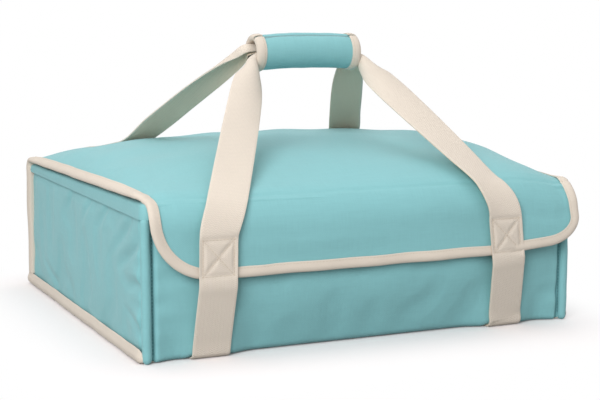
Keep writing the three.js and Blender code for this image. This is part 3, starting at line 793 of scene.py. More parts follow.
def profile_point(profile, station):
    """(y, z) on a section: stations 0 to 1 cross the top, 1 to 2 turn the fold, 2 to 3 go down the flap."""
    crown, radius, fold_y, fold_z = profile
    fall = 2 * CROWN_POWER * crown - (fold_z + radius - HINGE_EDGE)
    lean = max(0.0, math.atan2(fall, LID_BACK - fold_y))
    angle = lerp(lean, math.pi / 2, np.clip(station - 1, 0, 1))
    fold = fold_y - radius * np.sin(angle), fold_z + radius * np.cos(angle)
    top = np.clip(station, 0, 1)
    rise = crown * (1 - np.abs(2 * top - 1) ** CROWN_POWER)
    y = np.where(station <= 1, lerp(LID_BACK, fold[0], top), fold[0])
    z = np.where(station <= 1, lerp(HINGE_EDGE, fold[1], top) + rise, fold[1])
    return y, np.where(station > 2, lerp(fold_z, FLAP_EDGE, np.clip(station - 2, 0, 1)), z)


def lid_face(x, station):
    """A point of the lid's outer face."""
    out = np.minimum(1, np.abs(x) / LID_HALF)
    arch = np.where(x < 0, ARCH_SHARE[-1], ARCH_SHARE[1])
    share = 1 - arch * out ** ARCH_POWER - (1 - arch) * out ** EDGE_POWER
    edge = profile_point(EDGE_PROFILE, station)
    crown = profile_point(CROWN_PROFILE, station)
    y, z = [lerp(low, high, share) for low, high in zip(edge, crown)]
    return np.stack(np.broadcast_arrays(x, y, z), -1)


EDGE_FLAP = EDGE_PROFILE[3] - FLAP_EDGE
EDGE_TURN = EDGE_FOLD_RADIUS * math.pi / 2


def corner_inset(rise, corner):
    """How far a rounded flap corner draws in at a height above the flap's lower edge."""
    wide, tall = corner
    near = np.clip(1 - rise / tall, 0, 1)
    return wide * (1 - np.sqrt(1 - near ** 2))


def cover_rows():
    """Stations of the cover's rows, from the lid's back to the flap's lower edge, and their half widths."""
    tall = LEFT_CORNER[1] * (1 - np.sin(np.linspace(0, math.pi / 2, 26)))
    bend = np.where(tall > EDGE_FLAP, 2 - (tall - EDGE_FLAP) / EDGE_TURN, 3 - tall / EDGE_FLAP)
    stations = np.concatenate([
        np.linspace(TURN_STATION, 1, 82, endpoint=False),
        np.linspace(1, bend[0], 24, endpoint=False), bend])
    rise = np.where(stations > 2, EDGE_FLAP * (3 - stations), EDGE_FLAP + EDGE_TURN * (2 - stations))
    taper = smooth(stations, 0.86, 1.5)
    left = LID_HALF - LEFT_TAPER * taper - corner_inset(rise, LEFT_CORNER)
    right = LID_HALF - RIGHT_TAPER * taper - corner_inset(rise, RIGHT_CORNER)
    return stations, left, right


def lid_grid(sizes, spot):
    """The cover over the lid: padding, dents and crease, the back straps' press and the uneven corners."""
    stations, left, right = cover_rows()
    station = stations[:, None]
    halves = np.where(spot < 0, left[:, None], right[:, None])
    x = halves * spot
    lid = lid_face(x, station)
    normals = grid_normals(lid)
    inset = np.minimum(halves - np.abs(x), lid[..., 2] - FLAP_EDGE + 10 * np.maximum(0, 2 - station))
    pad = smooth(inset, 0.008, 0.030)
    crease = hump(station, 1.27, 0.035) * (0.75 + 0.25 * ripple(x, 0, 5))
    calm = smooth(np.abs(station - 1.5), 0.2, 0.9)
    run = spread(lid[:, [COVER_COLUMNS // 2]], 0)
    dents = (ripple(x, run, 11) * 0.0011 - 0.0006) * lerp(0.35, 1.0, calm)
    foot = np.where(x < 0, -BACK_STRAPS[-1], BACK_STRAPS[1])
    strap = np.abs(np.abs(x) - foot + FOOT_LEAN * np.clip(station / FOOT_STATION, 0, 1))
    press = FOOT_SINK * smooth(-strap, -0.026, -0.017) * smooth(-station, -0.36, -0.27)
    lift = LID_PUFF * pad - sizes.crease * crease + dents * pad - press
    lid = lid + lift[..., None] * normals
    lid[..., 1] += FLAP_LEAN * smooth(station, 0.2, 1.2) * np.clip(3 - station, 0, 1)
    lid[..., 1] -= sizes.corner_curl * smooth(x, 0.10, LID_HALF) * smooth(station, 1.3, 2.8)
    lid[..., 2] += CORNER_RAISE * smooth(x, 0.11, 0.225) * smooth(station, 2, 3)
    drop = smooth(station, 0, 1) * smooth(-station, -2.8, -1.6)
    lid[..., 2] -= RIGHT_DROP * smooth(x, 0.165, LID_HALF) * drop
    return lid, stations


def back_grid(spot):
    """The cover up the back: softly swollen, and pressed in under the two straps."""
    half = LID_HALF - BACK_INSET
    x = half * spot[None, :]
    z = np.linspace(BASE_Z + 0.001, LID_EDGE - 0.012, BACK_ROWS)[:, None]
    edge = np.minimum(half - np.abs(x), z - BASE_Z)
    gap = np.minimum(np.abs(x - BACK_STRAPS[-1]), np.abs(x - BACK_STRAPS[1]))
    swell = LID_PUFF * smooth(edge, 0.01, 0.06) * (1 + 0.7 * ripple(x, z, 23))
    swell = lerp(-LID_PUFF, swell, smooth(gap, 0.021, 0.036))
    return np.stack(np.broadcast_arrays(x, BACK_Y + swell, z), -1)


def turn_rows(upright, lying, rise, reach, count):
    """Rows of a sheet that turns from the top of an upright part into the back of a lying part."""
    t = np.linspace(0, 1, count + 2)[1:-1, None, None]
    p0 = upright[-1]
    p1 = p0 + np.array([0, 0, rise])
    p3 = lying[0]
    p2 = p3 + unit(lying[0] - lying[1]) * reach
    return (1 - t) ** 3 * p0 + 3 * t * (1 - t) ** 2 * p1 + 3 * t ** 2 * (1 - t) * p2 + t ** 3 * p3


def cover_form(sizes):
    """The cover cloth's outer face: up the back, over the lid and down the flap, as rows across the bag."""
    crowd = 1.2
    spot = np.sin(np.linspace(-crowd, crowd, COVER_COLUMNS)) / math.sin(crowd)
    lid, stations = lid_grid(sizes, spot)
    back = back_grid(spot)
    grid = np.concatenate([back, turn_rows(back, lid, 0.008, 0.006, TURN_ROWS), lid])
    rows = np.concatenate([np.linspace(-1, -0.2, BACK_ROWS), np.linspace(-0.2, 0, TURN_ROWS), stations])
    hold = np.full(grid.shape[:2], 0.56)
    hold[:2] = hold[-3:] = hold[:, :3] = hold[:, -3:] = 1
    hold[:BACK_ROWS] = np.maximum(hold[:BACK_ROWS], 0.7)
    settled = settle(grid, hold, sizes.slack, push=0.6, most_out=0.0010, most_in=0.0028, bending=25.0)
    return settled, rows, spot


def sample(grid, normals, row, column, lift):
    """Points of a finished grid at places between its rows and columns, lifted off it."""
    i = np.clip(row.astype(int), 0, grid.shape[0] - 2)
    j = np.clip(column.astype(int), 0, grid.shape[1] - 2)
    a, b = (row - i)[..., None], (column - j)[..., None]

    def at(field):
        return lerp(lerp(field[i, j], field[i + 1, j], a), lerp(field[i, j + 1], field[i + 1, j + 1], a), b)

    return at(grid) + unit(at(normals)) * np.asarray(lift)[..., None]


def cover_at(x, station, lift=0.0):
    """Points on the finished cover, by place across and station; back rows have stations -1 to -0.2."""
    grid, rows, spot = FORMS["cover"]
    x, station = np.broadcast_arrays(np.asarray(x, float), np.asarray(station, float))
    row = np.interp(station, rows, np.arange(len(rows)))
    left, right = [np.interp(row, np.arange(len(rows)), np.abs(grid[:, end, 0])) for end in (0, -1)]
    column = np.interp(x / np.where(x < 0, left, right), spot, np.arange(len(spot)))
    return sample(grid, FORMS["cover_normals"], row, column, lift)


# The walls' form

def graded(length, fine=0.0008, coarse=0.0032):
    """Distances from a corner as far as length, close together at first and then further apart."""
    steps = [fine]
    while sum(steps) < length:
        steps.append(min(coarse, steps[-1] * 1.12))
    places = np.cumsum(steps)
    return places * length / places[-1]


def wall_path():
    """The walls seen from above, from the back of the left side, round the front, to the back of the right.
    Each row holds a point and its outward direction."""
    side = FRONT_Y + WALL_ROUND
    reach = HALF_WIDTH - WALL_ROUND
    down = side + graded(BACK_Y - 0.0005 - side)[::-1]
    bend = np.linspace(math.pi, 1.5 * math.pi, 7)
    cross = reach - graded(reach)
    cross = np.concatenate([-cross, cross[-2::-1]])
    left = [(-HALF_WIDTH, y, -1, 0) for y in down]
    corner = [(-reach + WALL_ROUND * math.cos(a), side + WALL_ROUND * math.sin(a), math.cos(a), math.sin(a))
              for a in bend]
    front = [(x, FRONT_Y, 0, -1) for x in cross]
    half = np.array(left + corner)
    other = half[::-1] * np.array([-1, 1, -1, 1])
    return np.vstack([half, np.array(front), other])


def wall_folds(y, heights, x):
    """Soft diagonal folds that run from the piped corners into the side walls."""
    folds = np.zeros((len(heights), len(y)))
    spots = np.stack(np.broadcast_arrays(y[None, :] - FRONT_Y, heights[:, None]), -1)
    for side, start, end, depth in WALL_CREASES:
        run = np.subtract(end, start)
        share = np.sum((spots - start) * run, -1) / np.sum(run * run)
        gap = np.linalg.norm(spots - start - np.clip(share, 0, 1)[..., None] * run, axis=-1)
        fade = smooth(share, -0.05, 0.15) * smooth(1 - share, 0, 0.7)
        folds -= depth * fade * (hump(gap, 0, 0.0045) - 0.5 * hump(gap, 0.010, 0.006)) * (x * side > 0)
    return folds


def strap_gap(x):
    """Distance across the front to the middle of the nearer strap."""
    return np.minimum(np.abs(x - FRONT_STRAPS[-1][0]), np.abs(x - FRONT_STRAPS[1][0]))


def front_bow(x, rise):
    """How far the front wall draws in at a height above the base, between the straps and the corners."""
    free = smooth(HALF_WIDTH - np.abs(x), 0.006, 0.05) * smooth(strap_gap(x), 0.010, 0.05)
    return BOW * np.maximum(0, BOW_TOP - rise) ** 2 * free


def front_swell(x, rise):
    """How far the front wall stands out below the flap, most of all between the straps."""
    wide = lerp(0.55, 1.0, smooth(strap_gap(x), 0.016, 0.05)) * smooth(HALF_WIDTH - np.abs(x), 0.012, 0.05)
    return FRONT_SWELL * wide * smooth(rise, 0, 0.058) * smooth(-rise, -0.100, -0.058)


def wall_sag(x):
    """How far the bag's underside sags between the straps that pass below it."""
    return WALL_SAG * smooth(strap_gap(x), 0.0185, 0.0245)


def wall_form(sizes):
    """The padded walls' outer face: rows from under the base up to the mouth, columns round the bag."""
    path = wall_path()
    turn = np.linspace(0, math.pi / 2, 8)[:-1]
    rise = np.concatenate([
        FRONT_ROUND * (1 - np.cos(turn)), np.linspace(FRONT_ROUND, WALL_TOP - BASE_Z, 60)])
    heights = BASE_Z + rise
    x, y, nx, ny = path.T
    front = np.abs(ny) > np.abs(nx)
    share = np.where(front, (x + HALF_WIDTH) / (2 * HALF_WIDTH), (y - FRONT_Y) / (BACK_Y - FRONT_Y))
    tall = rise / (WALL_TOP - BASE_Z)
    belly = (1 - np.abs(2 * share - 1) ** 3)[None, :] * (1 - np.abs(2 * tall - 1) ** 2.4)[:, None]
    length = spread(path[:, :2], 0)
    corner = np.minimum(np.abs(x + HALF_WIDTH), np.abs(x - HALF_WIDTH)) + np.abs(y - FRONT_Y)
    curve = lerp(SIDE_ROUND, FRONT_ROUND, np.where(front, smooth(HALF_WIDTH - np.abs(x), 0.004, 0.03), 0))
    inward = curve * (1 - np.sqrt(1 - np.clip(1 - rise[:, None] / curve, 0, 1) ** 2))
    dents = ripple(length[None, :], heights[:, None], 31, 0.22, 0.08) * 0.0008 - 0.0004
    edges = smooth(corner, 0.006, 0.05)[None, :] * smooth(rise, 0.004, 0.04)[:, None]
    edges = edges * smooth(WALL_TOP - heights, 0.004, 0.03)[:, None]
    tuck = ripple(heights[:, None], np.where(front, 0.5, 0.0) + np.sign(x), 37, 0.030, 0.017, 5)
    tuck = tuck * np.exp(-corner / 0.017) * smooth(corner, 0.007, 0.013)
    groove = lerp(0.0022, 0.0060, front) * hump(corner, CORD_CORNER, 0.0021)
    out = sizes.swell * belly + dents * edges + lerp(0.0028, 0.0010, front) * tuck - groove
    out += wall_folds(y, heights, np.where(front, 0, x))
    out -= 0.0014 * hump(heights, HEM_Z - 0.001, 0.006)[:, None]
    out -= inward + np.where(front, front_bow(x, rise[:, None]) - front_swell(x, rise[:, None]), 0)
    low = heights[:, None] - wall_sag(np.where(front, x, HALF_WIDTH)) * smooth(-rise, -0.025, 0)[:, None]
    grid = np.stack(np.broadcast_arrays(x + nx * out, y + ny * out, low), -1)
    hold = np.full(grid.shape[:2], 0.3)
    hold[:8] = hold[-3:] = hold[:, :3] = hold[:, -3:] = 1
    hold[:, corner < 0.012] = 1
    settled = settle(grid[:, ::-1], hold[:, ::-1], sizes.slack * 0.45, push=0.5,
                     most_out=0.0005, most_in=0.0008, bending=15.0, step=3)
    return settled[:, ::-1], heights, length, path


def wall_at(place, height, lift=0.0):
    """Points on the finished walls, by distance round the bag and height."""
    grid, heights, length, _ = FORMS["walls"]
    place, height = np.broadcast_arrays(np.asarray(place, float), np.asarray(height, float))
    row = np.interp(height, heights, np.arange(len(heights)))
    column = np.interp(place, length, np.arange(len(length)))
    return sample(grid, FORMS["wall_normals"], row, column, lift)


def front_place(x):
    """Distance round the bag of a point on the front wall."""
    _, _, length, path = FORMS["walls"]
    front = np.abs(path[:, 3]) > 0.999
    return np.interp(x, path[front, 0], length[front])


# Tapes and fastening

def tape_rings(path, normals, outs, outline):
    """An outline of (out, normal) offsets carried along an edge."""
    outline = np.asarray(outline)
    return path[:, None] + outline[None, :, :1] * outs[:, None] + outline[None, :, 1:] * normals[:, None]


def thicken(centre, thick):
    """A closed outline round a line of (out, normal) offsets."""
    centre = np.asarray(centre, float)
    normal = unit(np.gradient(centre, axis=0))[:, ::-1] * np.array([-1, 1])
    return np.vstack([centre + normal * thick / 2, (centre - normal * thick / 2)[::-1]])


def channel_outline(width, above, below, lip, thick):
    """A folded tape round an edge: a leg drawn in at its stitches, a round lip and the leg behind."""
    middle = (above - below) / 2
    radius = (above + below) / 2
    inner = lip - 0.28 * width
    bend = np.linspace(math.pi / 2, -math.pi / 2, 11)[1:-1]
    centre = [(lip - width * place, above * rise + 0.0002) for place, rise in SEWN_LEG]
    centre += [(inner + (lip - inner) * math.cos(a), middle + radius * math.sin(a)) for a in bend]
    centre += [(lip - width * place, -below) for place, _ in SEWN_LEG[::-1]]
    return thicken(centre, thick)


def fasten(piece, replaced=(), body=None, turn=None):
    """Hands a finished piece to the frame: the body it moves with and the solids it stands for. A piece
    given a turn is baked in place instead, and belongs to no body.
    """
    if turn:
        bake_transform(piece)
    else:
        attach(piece, body)
    if replaced:
        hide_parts(*replaced)
    return piece


# Cover, walls and base

def make_cover(sizes):
    """The cover cloth over the back, the lid and the flap."""
    FORMS["cover"] = cover_form(sizes)
    grid = FORMS["cover"][0]
    FORMS["cover_normals"] = grid_normals(grid)
    length = spread(grid[:, [COVER_COLUMNS // 2]], 0)
    flat = np.stack(np.broadcast_arrays(grid[..., 0], length), -1)
    cut = Cut()
    cut.shell(grid, grid - FORMS["cover_normals"] * sizes.cloth, flat)
    piece = cut.make("cover_cloth", FINISHES["cloth"])
    fasten(piece, ("back_panel", "back_foam", "lid_cover", "lid_top_foam", "lid_flap_foam"),
           turn=("bag_body", "lid", LID_TURN))


def make_walls(sizes):
    """The padded left, front and right walls, in one run."""
    FORMS["walls"] = wall_form(sizes)
    grid, _, _, path = FORMS["walls"]
    FORMS["wall_normals"] = -grid_normals(grid)
    flat = np.stack([spread(grid, 1), grid[..., 2]], -1)
    sunk = np.sum((path[:, :2] - grid[..., :2]) * path[:, 2:], axis=-1, keepdims=True)
    back = path[:, :2] - path[:, 2:] * np.maximum(WALL - 0.0012, sunk + 0.0015)
    inner = np.concatenate([back, np.maximum(grid[..., 2:], BASE_Z + 0.0012)], axis=-1)
    cut = Cut()
    cut.shell(grid, inner, flat)
    piece = cut.make("padded_walls", FINISHES["cloth"])
    solids = ("front_panel", "front_foam", "left_panel", "left_foam", "right_panel", "right_foam")
    fasten(piece, solids, body="bag_body")


def make_base(sizes):
    """The cloth under the base, which sags between the straps, and the stiffening board above it."""
    across = np.linspace(-1, 1, 60)
    x = (HALF_WIDTH - SIDE_ROUND) * across[None, :]
    y = lerp(FRONT_Y + FRONT_ROUND + front_bow(x, 0), BACK_Y - 0.001, np.linspace(0, 1, 56)[:, None])
    sag = 0.0004 * ripple(x, y, 41) * (1 - across[None, :] ** 6)
    low = BASE_Z - 0.0002 - wall_sag(x) + np.clip(sag, -0.0002, 0.0006)
    below = np.stack(np.broadcast_arrays(x, y, low), -1)
    base = Cut()
    base.shell(below, below + np.array([0, 0, sizes.cloth]), below[..., :2])
    fasten(base.make("base_cloth", FINISHES["cloth"]), ("base_panel",), body="bag_body")
    low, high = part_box("base_board")
    x = np.linspace(low.x + 0.004, high.x - 0.004, 12)[None, :]
    y = np.linspace(low.y + 0.016, high.y - 0.002, 12)[:, None]
    sheet = np.stack(np.broadcast_arrays(x, y, low.z), -1)
    board = Cut()
    board.shell(sheet, sheet + np.array([0, 0, high.z - low.z]), sheet[..., :2])
    sheet = board.make("base_board_sheet", FINISHES["board"])
    fasten(sheet, ("base_board",), body="bag_body")


# Bindings, piping and hem

def edge_frame(grid, normals, start):
    """The cover's bound edge, from back left round the flap to back right: points, normals, outs."""
    points, norms = [np.concatenate([field[start:-1, 0], field[-1, :], field[-2:start - 1:-1, -1]])
                     for field in (grid, normals)]
    for _ in range(4):
        norms[1:-1] = unit(norms[:-2] + 2 * norms[1:-1] + norms[2:])
    heading = unit(np.gradient(points, axis=0))
    for _ in range(2):
        heading[1:-1] = unit(heading[:-2] + 2 * heading[1:-1] + heading[2:])
    outs = unit(np.cross(heading, norms))
    return points, norms, outs


def make_lid_binding(sizes):
    """The cream binding up the back edges and round the lid and flap, in one run, with its stitching."""
    points, norms, outs = edge_frame(FORMS["cover"][0], FORMS["cover_normals"], 2)
    along = spread(points, 0)
    place = np.arange(len(points))
    fat = smooth(BACK_ROWS + TURN_ROWS - np.minimum(place, place[::-1]), 3, 11)
    wobble = ripple(along, 0, 51, 0.12, 0.03)[:, None] * 0.0003
    behind = smooth(points[:, 1:2], LID_FRONT + 0.015, LID_FRONT + 0.05)
    sink = 0.0016 * smooth(points[:, :1], 0.19, 0.21) * behind
    edge = points + norms * (wobble - sink) + outs * wobble
    slim = channel_outline(sizes.binding_width, 0.0019, 0.0024, LID_LIP, sizes.cloth)
    deep = channel_outline(sizes.binding_width, 0.0024, 0.0120, BACK_LIP, sizes.cloth)
    lid, back = [tape_rings(edge, norms, outs, outline) for outline in (slim, deep)]
    cut = Cut()
    cut.sweep(lerp(lid, back, fat[:, None, None]), along)
    turn = ("bag_body", "lid", LID_TURN)
    fasten(cut.make("lid_binding_tape", FINISHES["binding"]), ("lid_binding",), turn=turn)
    lip = lerp(LID_LIP, BACK_LIP, fat)[:, None]
    row = edge + outs * (lip - 0.84 * sizes.binding_width) + norms * 0.0017
    fasten(sew("lid_stitches", [row[3:-3]], FINISHES["thread"], sizes), turn=turn)


def corner_outline(width, proud, under, thick):
    """A tape rolled round a square edge, proud of its side and other face, as (out, other) offsets."""
    bend = np.linspace(0, math.pi / 2, 7)
    radius = 0.0036
    far = [(-width * place, under * rise + 0.0004) for place, rise in SOFT_LEG]
    near = [(proud * rise + 0.0004, -width * place) for place, rise in SOFT_LEG[::-1]]
    roll = [(proud - radius + radius * math.sin(a), under - radius + radius * math.cos(a)) for a in bend]
    return thicken(far + roll + near, thick)


def make_side_bindings(sizes):
    """The fat binding along each side's bottom edge, which butts on the back edge's binding."""
    width = sizes.binding_width * 1.25
    outline = corner_outline(width, 0.0050, 0.0004, sizes.cloth)
    front_close, back_close = 0.008, 0.003
    for side, name in ((-1, "left"), (1, "right")):
        y = np.linspace(FRONT_Y + 0.001, BACK_Y + 0.0045, 160)
        path = np.stack(np.broadcast_arrays(side * HALF_WIDTH, y, BASE_Z - WALL_SAG + 0.0008), -1)
        outs = np.tile([side, 0.0, 0.0], (len(path), 1))
        downs = np.tile([0.0, 0.0, -1.0], (len(path), 1))
        along = spread(path, 0)
        wobble = ripple(along, side, 61, 0.12, 0.03)[:, None] * 0.0003
        cut = Cut()
        rings = tape_rings(path + outs * wobble, downs, outs, outline)
        near = 1 - np.clip(np.minimum(along / front_close, (along[-1] - along) / back_close), 0, 1)
        shut = (path - outs * 0.001 - downs * 0.003)[:, None]
        cut.sweep(lerp(shut, rings, np.sqrt(1 - 0.96 * near ** 2)[:, None, None]), along)
        piece = cut.make(f"{name}_binding_tape", FINISHES["binding"])
        fasten(piece, (f"{name}_binding",), body="bag_body")
        row = path - downs * width * 0.82 + outs * 0.0032
        FORMS["body_lines"].append(row[2:-2])


def make_piping(sizes):
    """The cloth-covered piping down the two front corners, with dark stitch lines beside each cord that
    paint the shade of its grooves.
    """
    for side, name in ((-1, "left"), (1, "right")):
        z = np.linspace(BASE_Z - WALL_SAG, HEM_Z + 0.001, 60)
        wobble = ripple(z, side, 71, 0.08, 0.02) * 0.0002
        centre = np.stack(np.broadcast_arrays(
            side * (HALF_WIDTH - 0.0030 + wobble), FRONT_Y + 0.0022 - wobble, z), -1)
        angle = np.linspace(0, 2 * math.pi, 19)[:-1]
        ends = np.clip(np.minimum(z - z[0], z[-1] - z) / 0.004, 0, 1)
        radius = sizes.piping_radius * np.sqrt(0.25 + 0.75 * (1 - (1 - ends) ** 2))
        ring = np.stack([np.cos(angle), np.sin(angle), np.zeros_like(angle)], -1)
        cut = Cut()
        cut.sweep(centre[:, None] + ring[None] * radius[:, None, None], spread(centre, 0))
        piece = cut.make(f"{name}_piping_cord", FINISHES["cloth"])
        fasten(piece, (f"{name}_piping",), body="bag_body")
        # Dark stitch lines along both grooves of each cord: painted shade.
        for x, y in ((HALF_WIDTH - 0.0010, FRONT_Y + 0.0086), (HALF_WIDTH - 0.0088, FRONT_Y + 0.0018)):
            seam = np.stack(np.broadcast_arrays(side * x, y, z[4:-3]), -1)
            FORMS["seam_shade_lines"].append(seam)


def make_hem():
    """The folded cloth hem over the mouth of the walls, with a dark stitch line under it that paints the
    shade below the hem.
    """
    path = FORMS["walls"][3]
    along = spread(path[:, :2], 0)
    thick = 0.0009
    bend = np.linspace(math.pi, 0, 10)
    half = WALL / 2 + 0.0004
    top = [(-WALL / 2 + half * math.cos(a), -0.003 + 0.003 * math.sin(a)) for a in bend]
    forward = (BACK_Y - path[:, 1]) / (BACK_Y - FRONT_Y)
    lift = forward * lerp(*HEM_LIFT, smooth(path[:, 0], -HALF_WIDTH, HALF_WIDTH))
    base = np.column_stack([path[:, :2], MOUTH_Z - thick / 2 + lift])
    outs = np.column_stack([path[:, 2:], np.zeros(len(path))])
    ups = np.tile([0.0, 0.0, 1.0], (len(path), 1))
    runs = []
    for deep in (MOUTH_Z - HEM_Z, MOUTH_Z - HEM_Z + HEM_LIFT[0]):
        centre = [(-WALL - 0.0004, -deep), *top, (0.0010, -0.0045), (0.0016, -deep * 0.8), (0.0015, -deep)]
        runs.append(tape_rings(base, ups, outs, thicken(centre, thick)))
    cut = Cut()
    cut.sweep(lerp(*runs, (lift / HEM_LIFT[0])[:, None, None]), along)
    fasten(cut.make("mouth_hem_cloth", FINISHES["cloth"]), ("mouth_hem",), body="bag_body")
    # A dark stitch line just under the hem: painted shade below the hem's edge.
    row = np.column_stack([path[:, :2] + path[:, 2:] * 0.0008, np.full(len(path), HEM_Z - 0.0006)])
    FORMS["seam_shade_lines"].append(row[2:-2])


# Linings and closing tapes

def rounded_ring(half_x, low_y, high_y, radius, count):
    """A closed rounded rectangle seen from above, with its outward directions."""
    wide, low, high = half_x - radius, low_y + radius, high_y - radius
    points, outs = [], []
    for quarter, centre in enumerate(((wide, high), (-wide, high), (-wide, low), (wide, low))):
        for a in np.linspace(0, math.pi / 2, count) + quarter * math.pi / 2:
            out = np.array([math.cos(a), math.sin(a)])
            points.append(centre + out * radius)
            outs.append(out)
    points, outs = np.array(points), np.array(outs)
    dense, dense_outs = [], []
    for i in range(len(points)):
        n = (i + 1) % len(points)
        steps = max(1, int(np.linalg.norm(points[n] - points[i]) / 0.006))
        for t in np.linspace(0, 1, steps, endpoint=False):
            dense.append(lerp(points[i], points[n], t))
            dense_outs.append(lerp(outs[i], outs[n], t))
    return np.array(dense), unit(np.array(dense_outs))


def make_lining():
    """The foil lining of the tub, crinkled, down the walls and over the floor."""
    half = LINER_HIGH.x - LINER_GAP
    ring, outs = rounded_ring(half, LINER_LOW.y + LINER_GAP, LINER_HIGH.y - LINER_GAP, 0.010, 5)
    floor = LINER_LOW.z + LINER_GAP
    rows = [(0, z) for z in np.linspace(WALL_TOP - 0.0005, floor + LINER_ROUND, 24)]
    for a in np.linspace(0, math.pi / 2, 6)[1:]:
        rows.append((LINER_ROUND * (1 - math.cos(a)), floor + LINER_ROUND * (1 - math.sin(a))))
    walls = np.array([np.column_stack([ring - outs * inset, np.full(len(ring), z)]) for inset, z in rows])
    spine = np.stack(np.broadcast_arrays(
        np.clip(walls[-1][:, 0], -0.01, 0.01), (LINER_LOW.y + LINER_HIGH.y) / 2, floor), -1)
    ground = np.array([lerp(walls[-1], spine, t) for t in np.linspace(0, 0.97, 34)[1:]])
    rings = np.concatenate([walls, ground])
    number = np.arange(len(rings))[:, None]
    crinkle = ripple(rings[..., 0] + rings[..., 2], rings[..., 1] - rings[..., 2], 81, 0.06, 0.02, 14)
    crinkle = np.abs(crinkle) * 0.0005 * smooth(number, 0, 3) * smooth(len(rings) - 1 - number, 0, 3)
    closed = np.concatenate([rings, rings[:, :1]], axis=1)
    faces_in = -grid_normals(closed)[:, :-1]
    face = rings + faces_in * crinkle[..., None]
    cut = Cut()
    cut.cup(face, face - faces_in * FOIL)
    fasten(cut.make("tub_lining", FINISHES["foil"]), ("liner", "base_foam"), body="bag_body")


def lid_lining_grid():
    """The lid's lining: from a strip down the tub's back wall, along under the lid, to inside the flap."""
    grid, rows, spot = FORMS["cover"]
    first = BACK_ROWS + TURN_ROWS + 3
    lid = grid[first:]
    station = rows[first:, None]
    x = lid[..., 0]
    inset = np.minimum(x - x[:, :1], x[:, -1:] - x)
    inset = np.minimum(inset, np.where(station > 2, lid[..., 2] - FLAP_EDGE, 1))
    deep = lerp(0.0094, 0.0062, smooth(station, 1.2, 1.8))
    depth = lerp(0.0016, deep, smooth(inset, 0.010, 0.034))
    under = lid - FORMS["cover_normals"][first:] * depth[..., None]
    under[..., 0] *= (LID_HALF - 0.004) / LID_HALF
    z = np.linspace(0.095, 0.138, 12)[:, None]
    strip = np.stack(np.broadcast_arrays(
        spot[None, :] * (LINER_HIGH.x - 0.006), LINER_HIGH.y - 0.0020, z), -1)
    return np.concatenate([strip, turn_rows(strip, under, 0.006, 0.004, 6), under])


def make_lid_lining():
    """The foil lining under the lid and flap."""
    grid = lid_lining_grid()
    normals = -grid_normals(grid)
    number = np.arange(len(grid))[:, None]
    crinkle = ripple(grid[..., 0], grid[..., 1] + grid[..., 2], 87, 0.06, 0.02, 14) * 0.0004
    crinkle = np.abs(crinkle) * smooth(number, 1, 5) * smooth(len(grid) - 1 - number, 1, 5)
    face = grid + normals * crinkle[..., None]
    FORMS["lid_lining"] = face, normals
    cut = Cut()
    cut.shell(face, face - normals * FOIL, np.stack([grid[..., 0], spread(grid, 0)], -1))
    fasten(cut.make("lid_lining_foil", FINISHES["foil"]), ("lid_liner",),
           turn=("bag_body", "lid", LINING_TURN))


def make_closures():
    """The loop tape on the front wall and the hook tape inside the flap."""
    x = np.linspace(LOOP_LOW.x, LOOP_HIGH.x, 90)[None, :]
    z = np.linspace(LOOP_LOW.z, LOOP_HIGH.z, 12)[:, None]
    pile, seat = [wall_at(front_place(x), z, lift) for lift in (0.0018, 0.0001)]
    loop = Cut()
    loop.shell(pile, seat, np.stack(np.broadcast_arrays(x, z), -1))
    piece = loop.make("closure_loop_tape", FINISHES["closure"])
    fasten(piece, ("closure_loop",), body="bag_body")
    face, normals = FORMS["lid_lining"]
    heights = face[::-1, COVER_COLUMNS // 2, 2]
    top, bottom = [len(face) - 1 - int(np.argmax(heights > z)) for z in (LOOP_HIGH.z, LOOP_LOW.z)]
    wide = np.flatnonzero(np.abs(face[top, :, 0]) <= LOOP_HIGH.x)
    area, push = [field[top:bottom + 1, wide[0]:wide[-1] + 1] for field in (face, normals)]
    hook = Cut()
    hook.shell(area + push * 0.0013, area - push * 0.0001, area[..., [0, 2]])
    tape = hook.make("closure_hook_tape", FINISHES["closure"])
    fasten(tape, ("closure_hook",), body="lid")


# Straps

def strap_rings(points, width, thick):
    """A strap along stations of place, facing and curl. Curl 0 is flat and 1 is rolled for the grip."""
    run = path_through(points, STRAP_STEP)
    place, facing, curl = run[:, :3], run[:, 3:6], np.clip(run[:, 6], 0, 1)
    place[:, 2] = np.maximum(place[:, 2], thick / 2)
    along = spread(place, 0)
    tangent = unit(np.gradient(place, axis=0))
    facing = unit(facing - np.sum(facing * tangent, -1, keepdims=True) * tangent)
    across = np.cross(tangent, facing)
    share = np.linspace(-0.5, 0.5, STRAP_POINTS)
    half = thick / 2
    rings = []
    for i in range(len(run)):
        turn = max(1e-3, curl[i] * CURL_TURN)
        radius = width / turn
        angle = share * turn
        side = radius * np.sin(angle) * lerp(1.0, CURL_NARROW, curl[i])
        drop = -radius * (1 - np.cos(angle)) * lerp(1.0, CURL_FLAT, curl[i])
        drop -= drop.min() / 2
        centre = np.stack([side, drop], -1)
        normal = unit(np.gradient(centre, axis=0))[:, ::-1] * np.array([-1, 1])
        ease = np.ones((len(share), 1))
        ease[0] = ease[-1] = 0.55
        outline = np.vstack([centre + normal * half * ease, (centre - normal * half * ease)[::-1]])
        rings.append(place[i] + outline[:, :1] * across[i] + outline[:, 1:] * facing[i])
    return np.array(rings), along


def front_strap_x(side, z):
    """Where the middle of a front strap stands at a height up the front."""
    foot, box = FRONT_STRAPS[side]
    return lerp(foot, box, np.clip(z / BEND_Z, 0, 1))


def eased(share, lead):
    """A share of the way, from 0 to 1, that sets off gently over the lead."""
    return (share * share / (2 * lead) if share < lead else share - lead / 2) / (1 - lead / 2)


def grip_core(side):
    """(y, z) of the webbing inside the front (-1) or back (1) half of the grip, at the grip's ends."""
    reach = 0.0078
    centre = np.array([GRIP_Y, GRIP_Z - GRIP_ARCH])
    return centre - side * reach * SEAM_FRONT[1:]


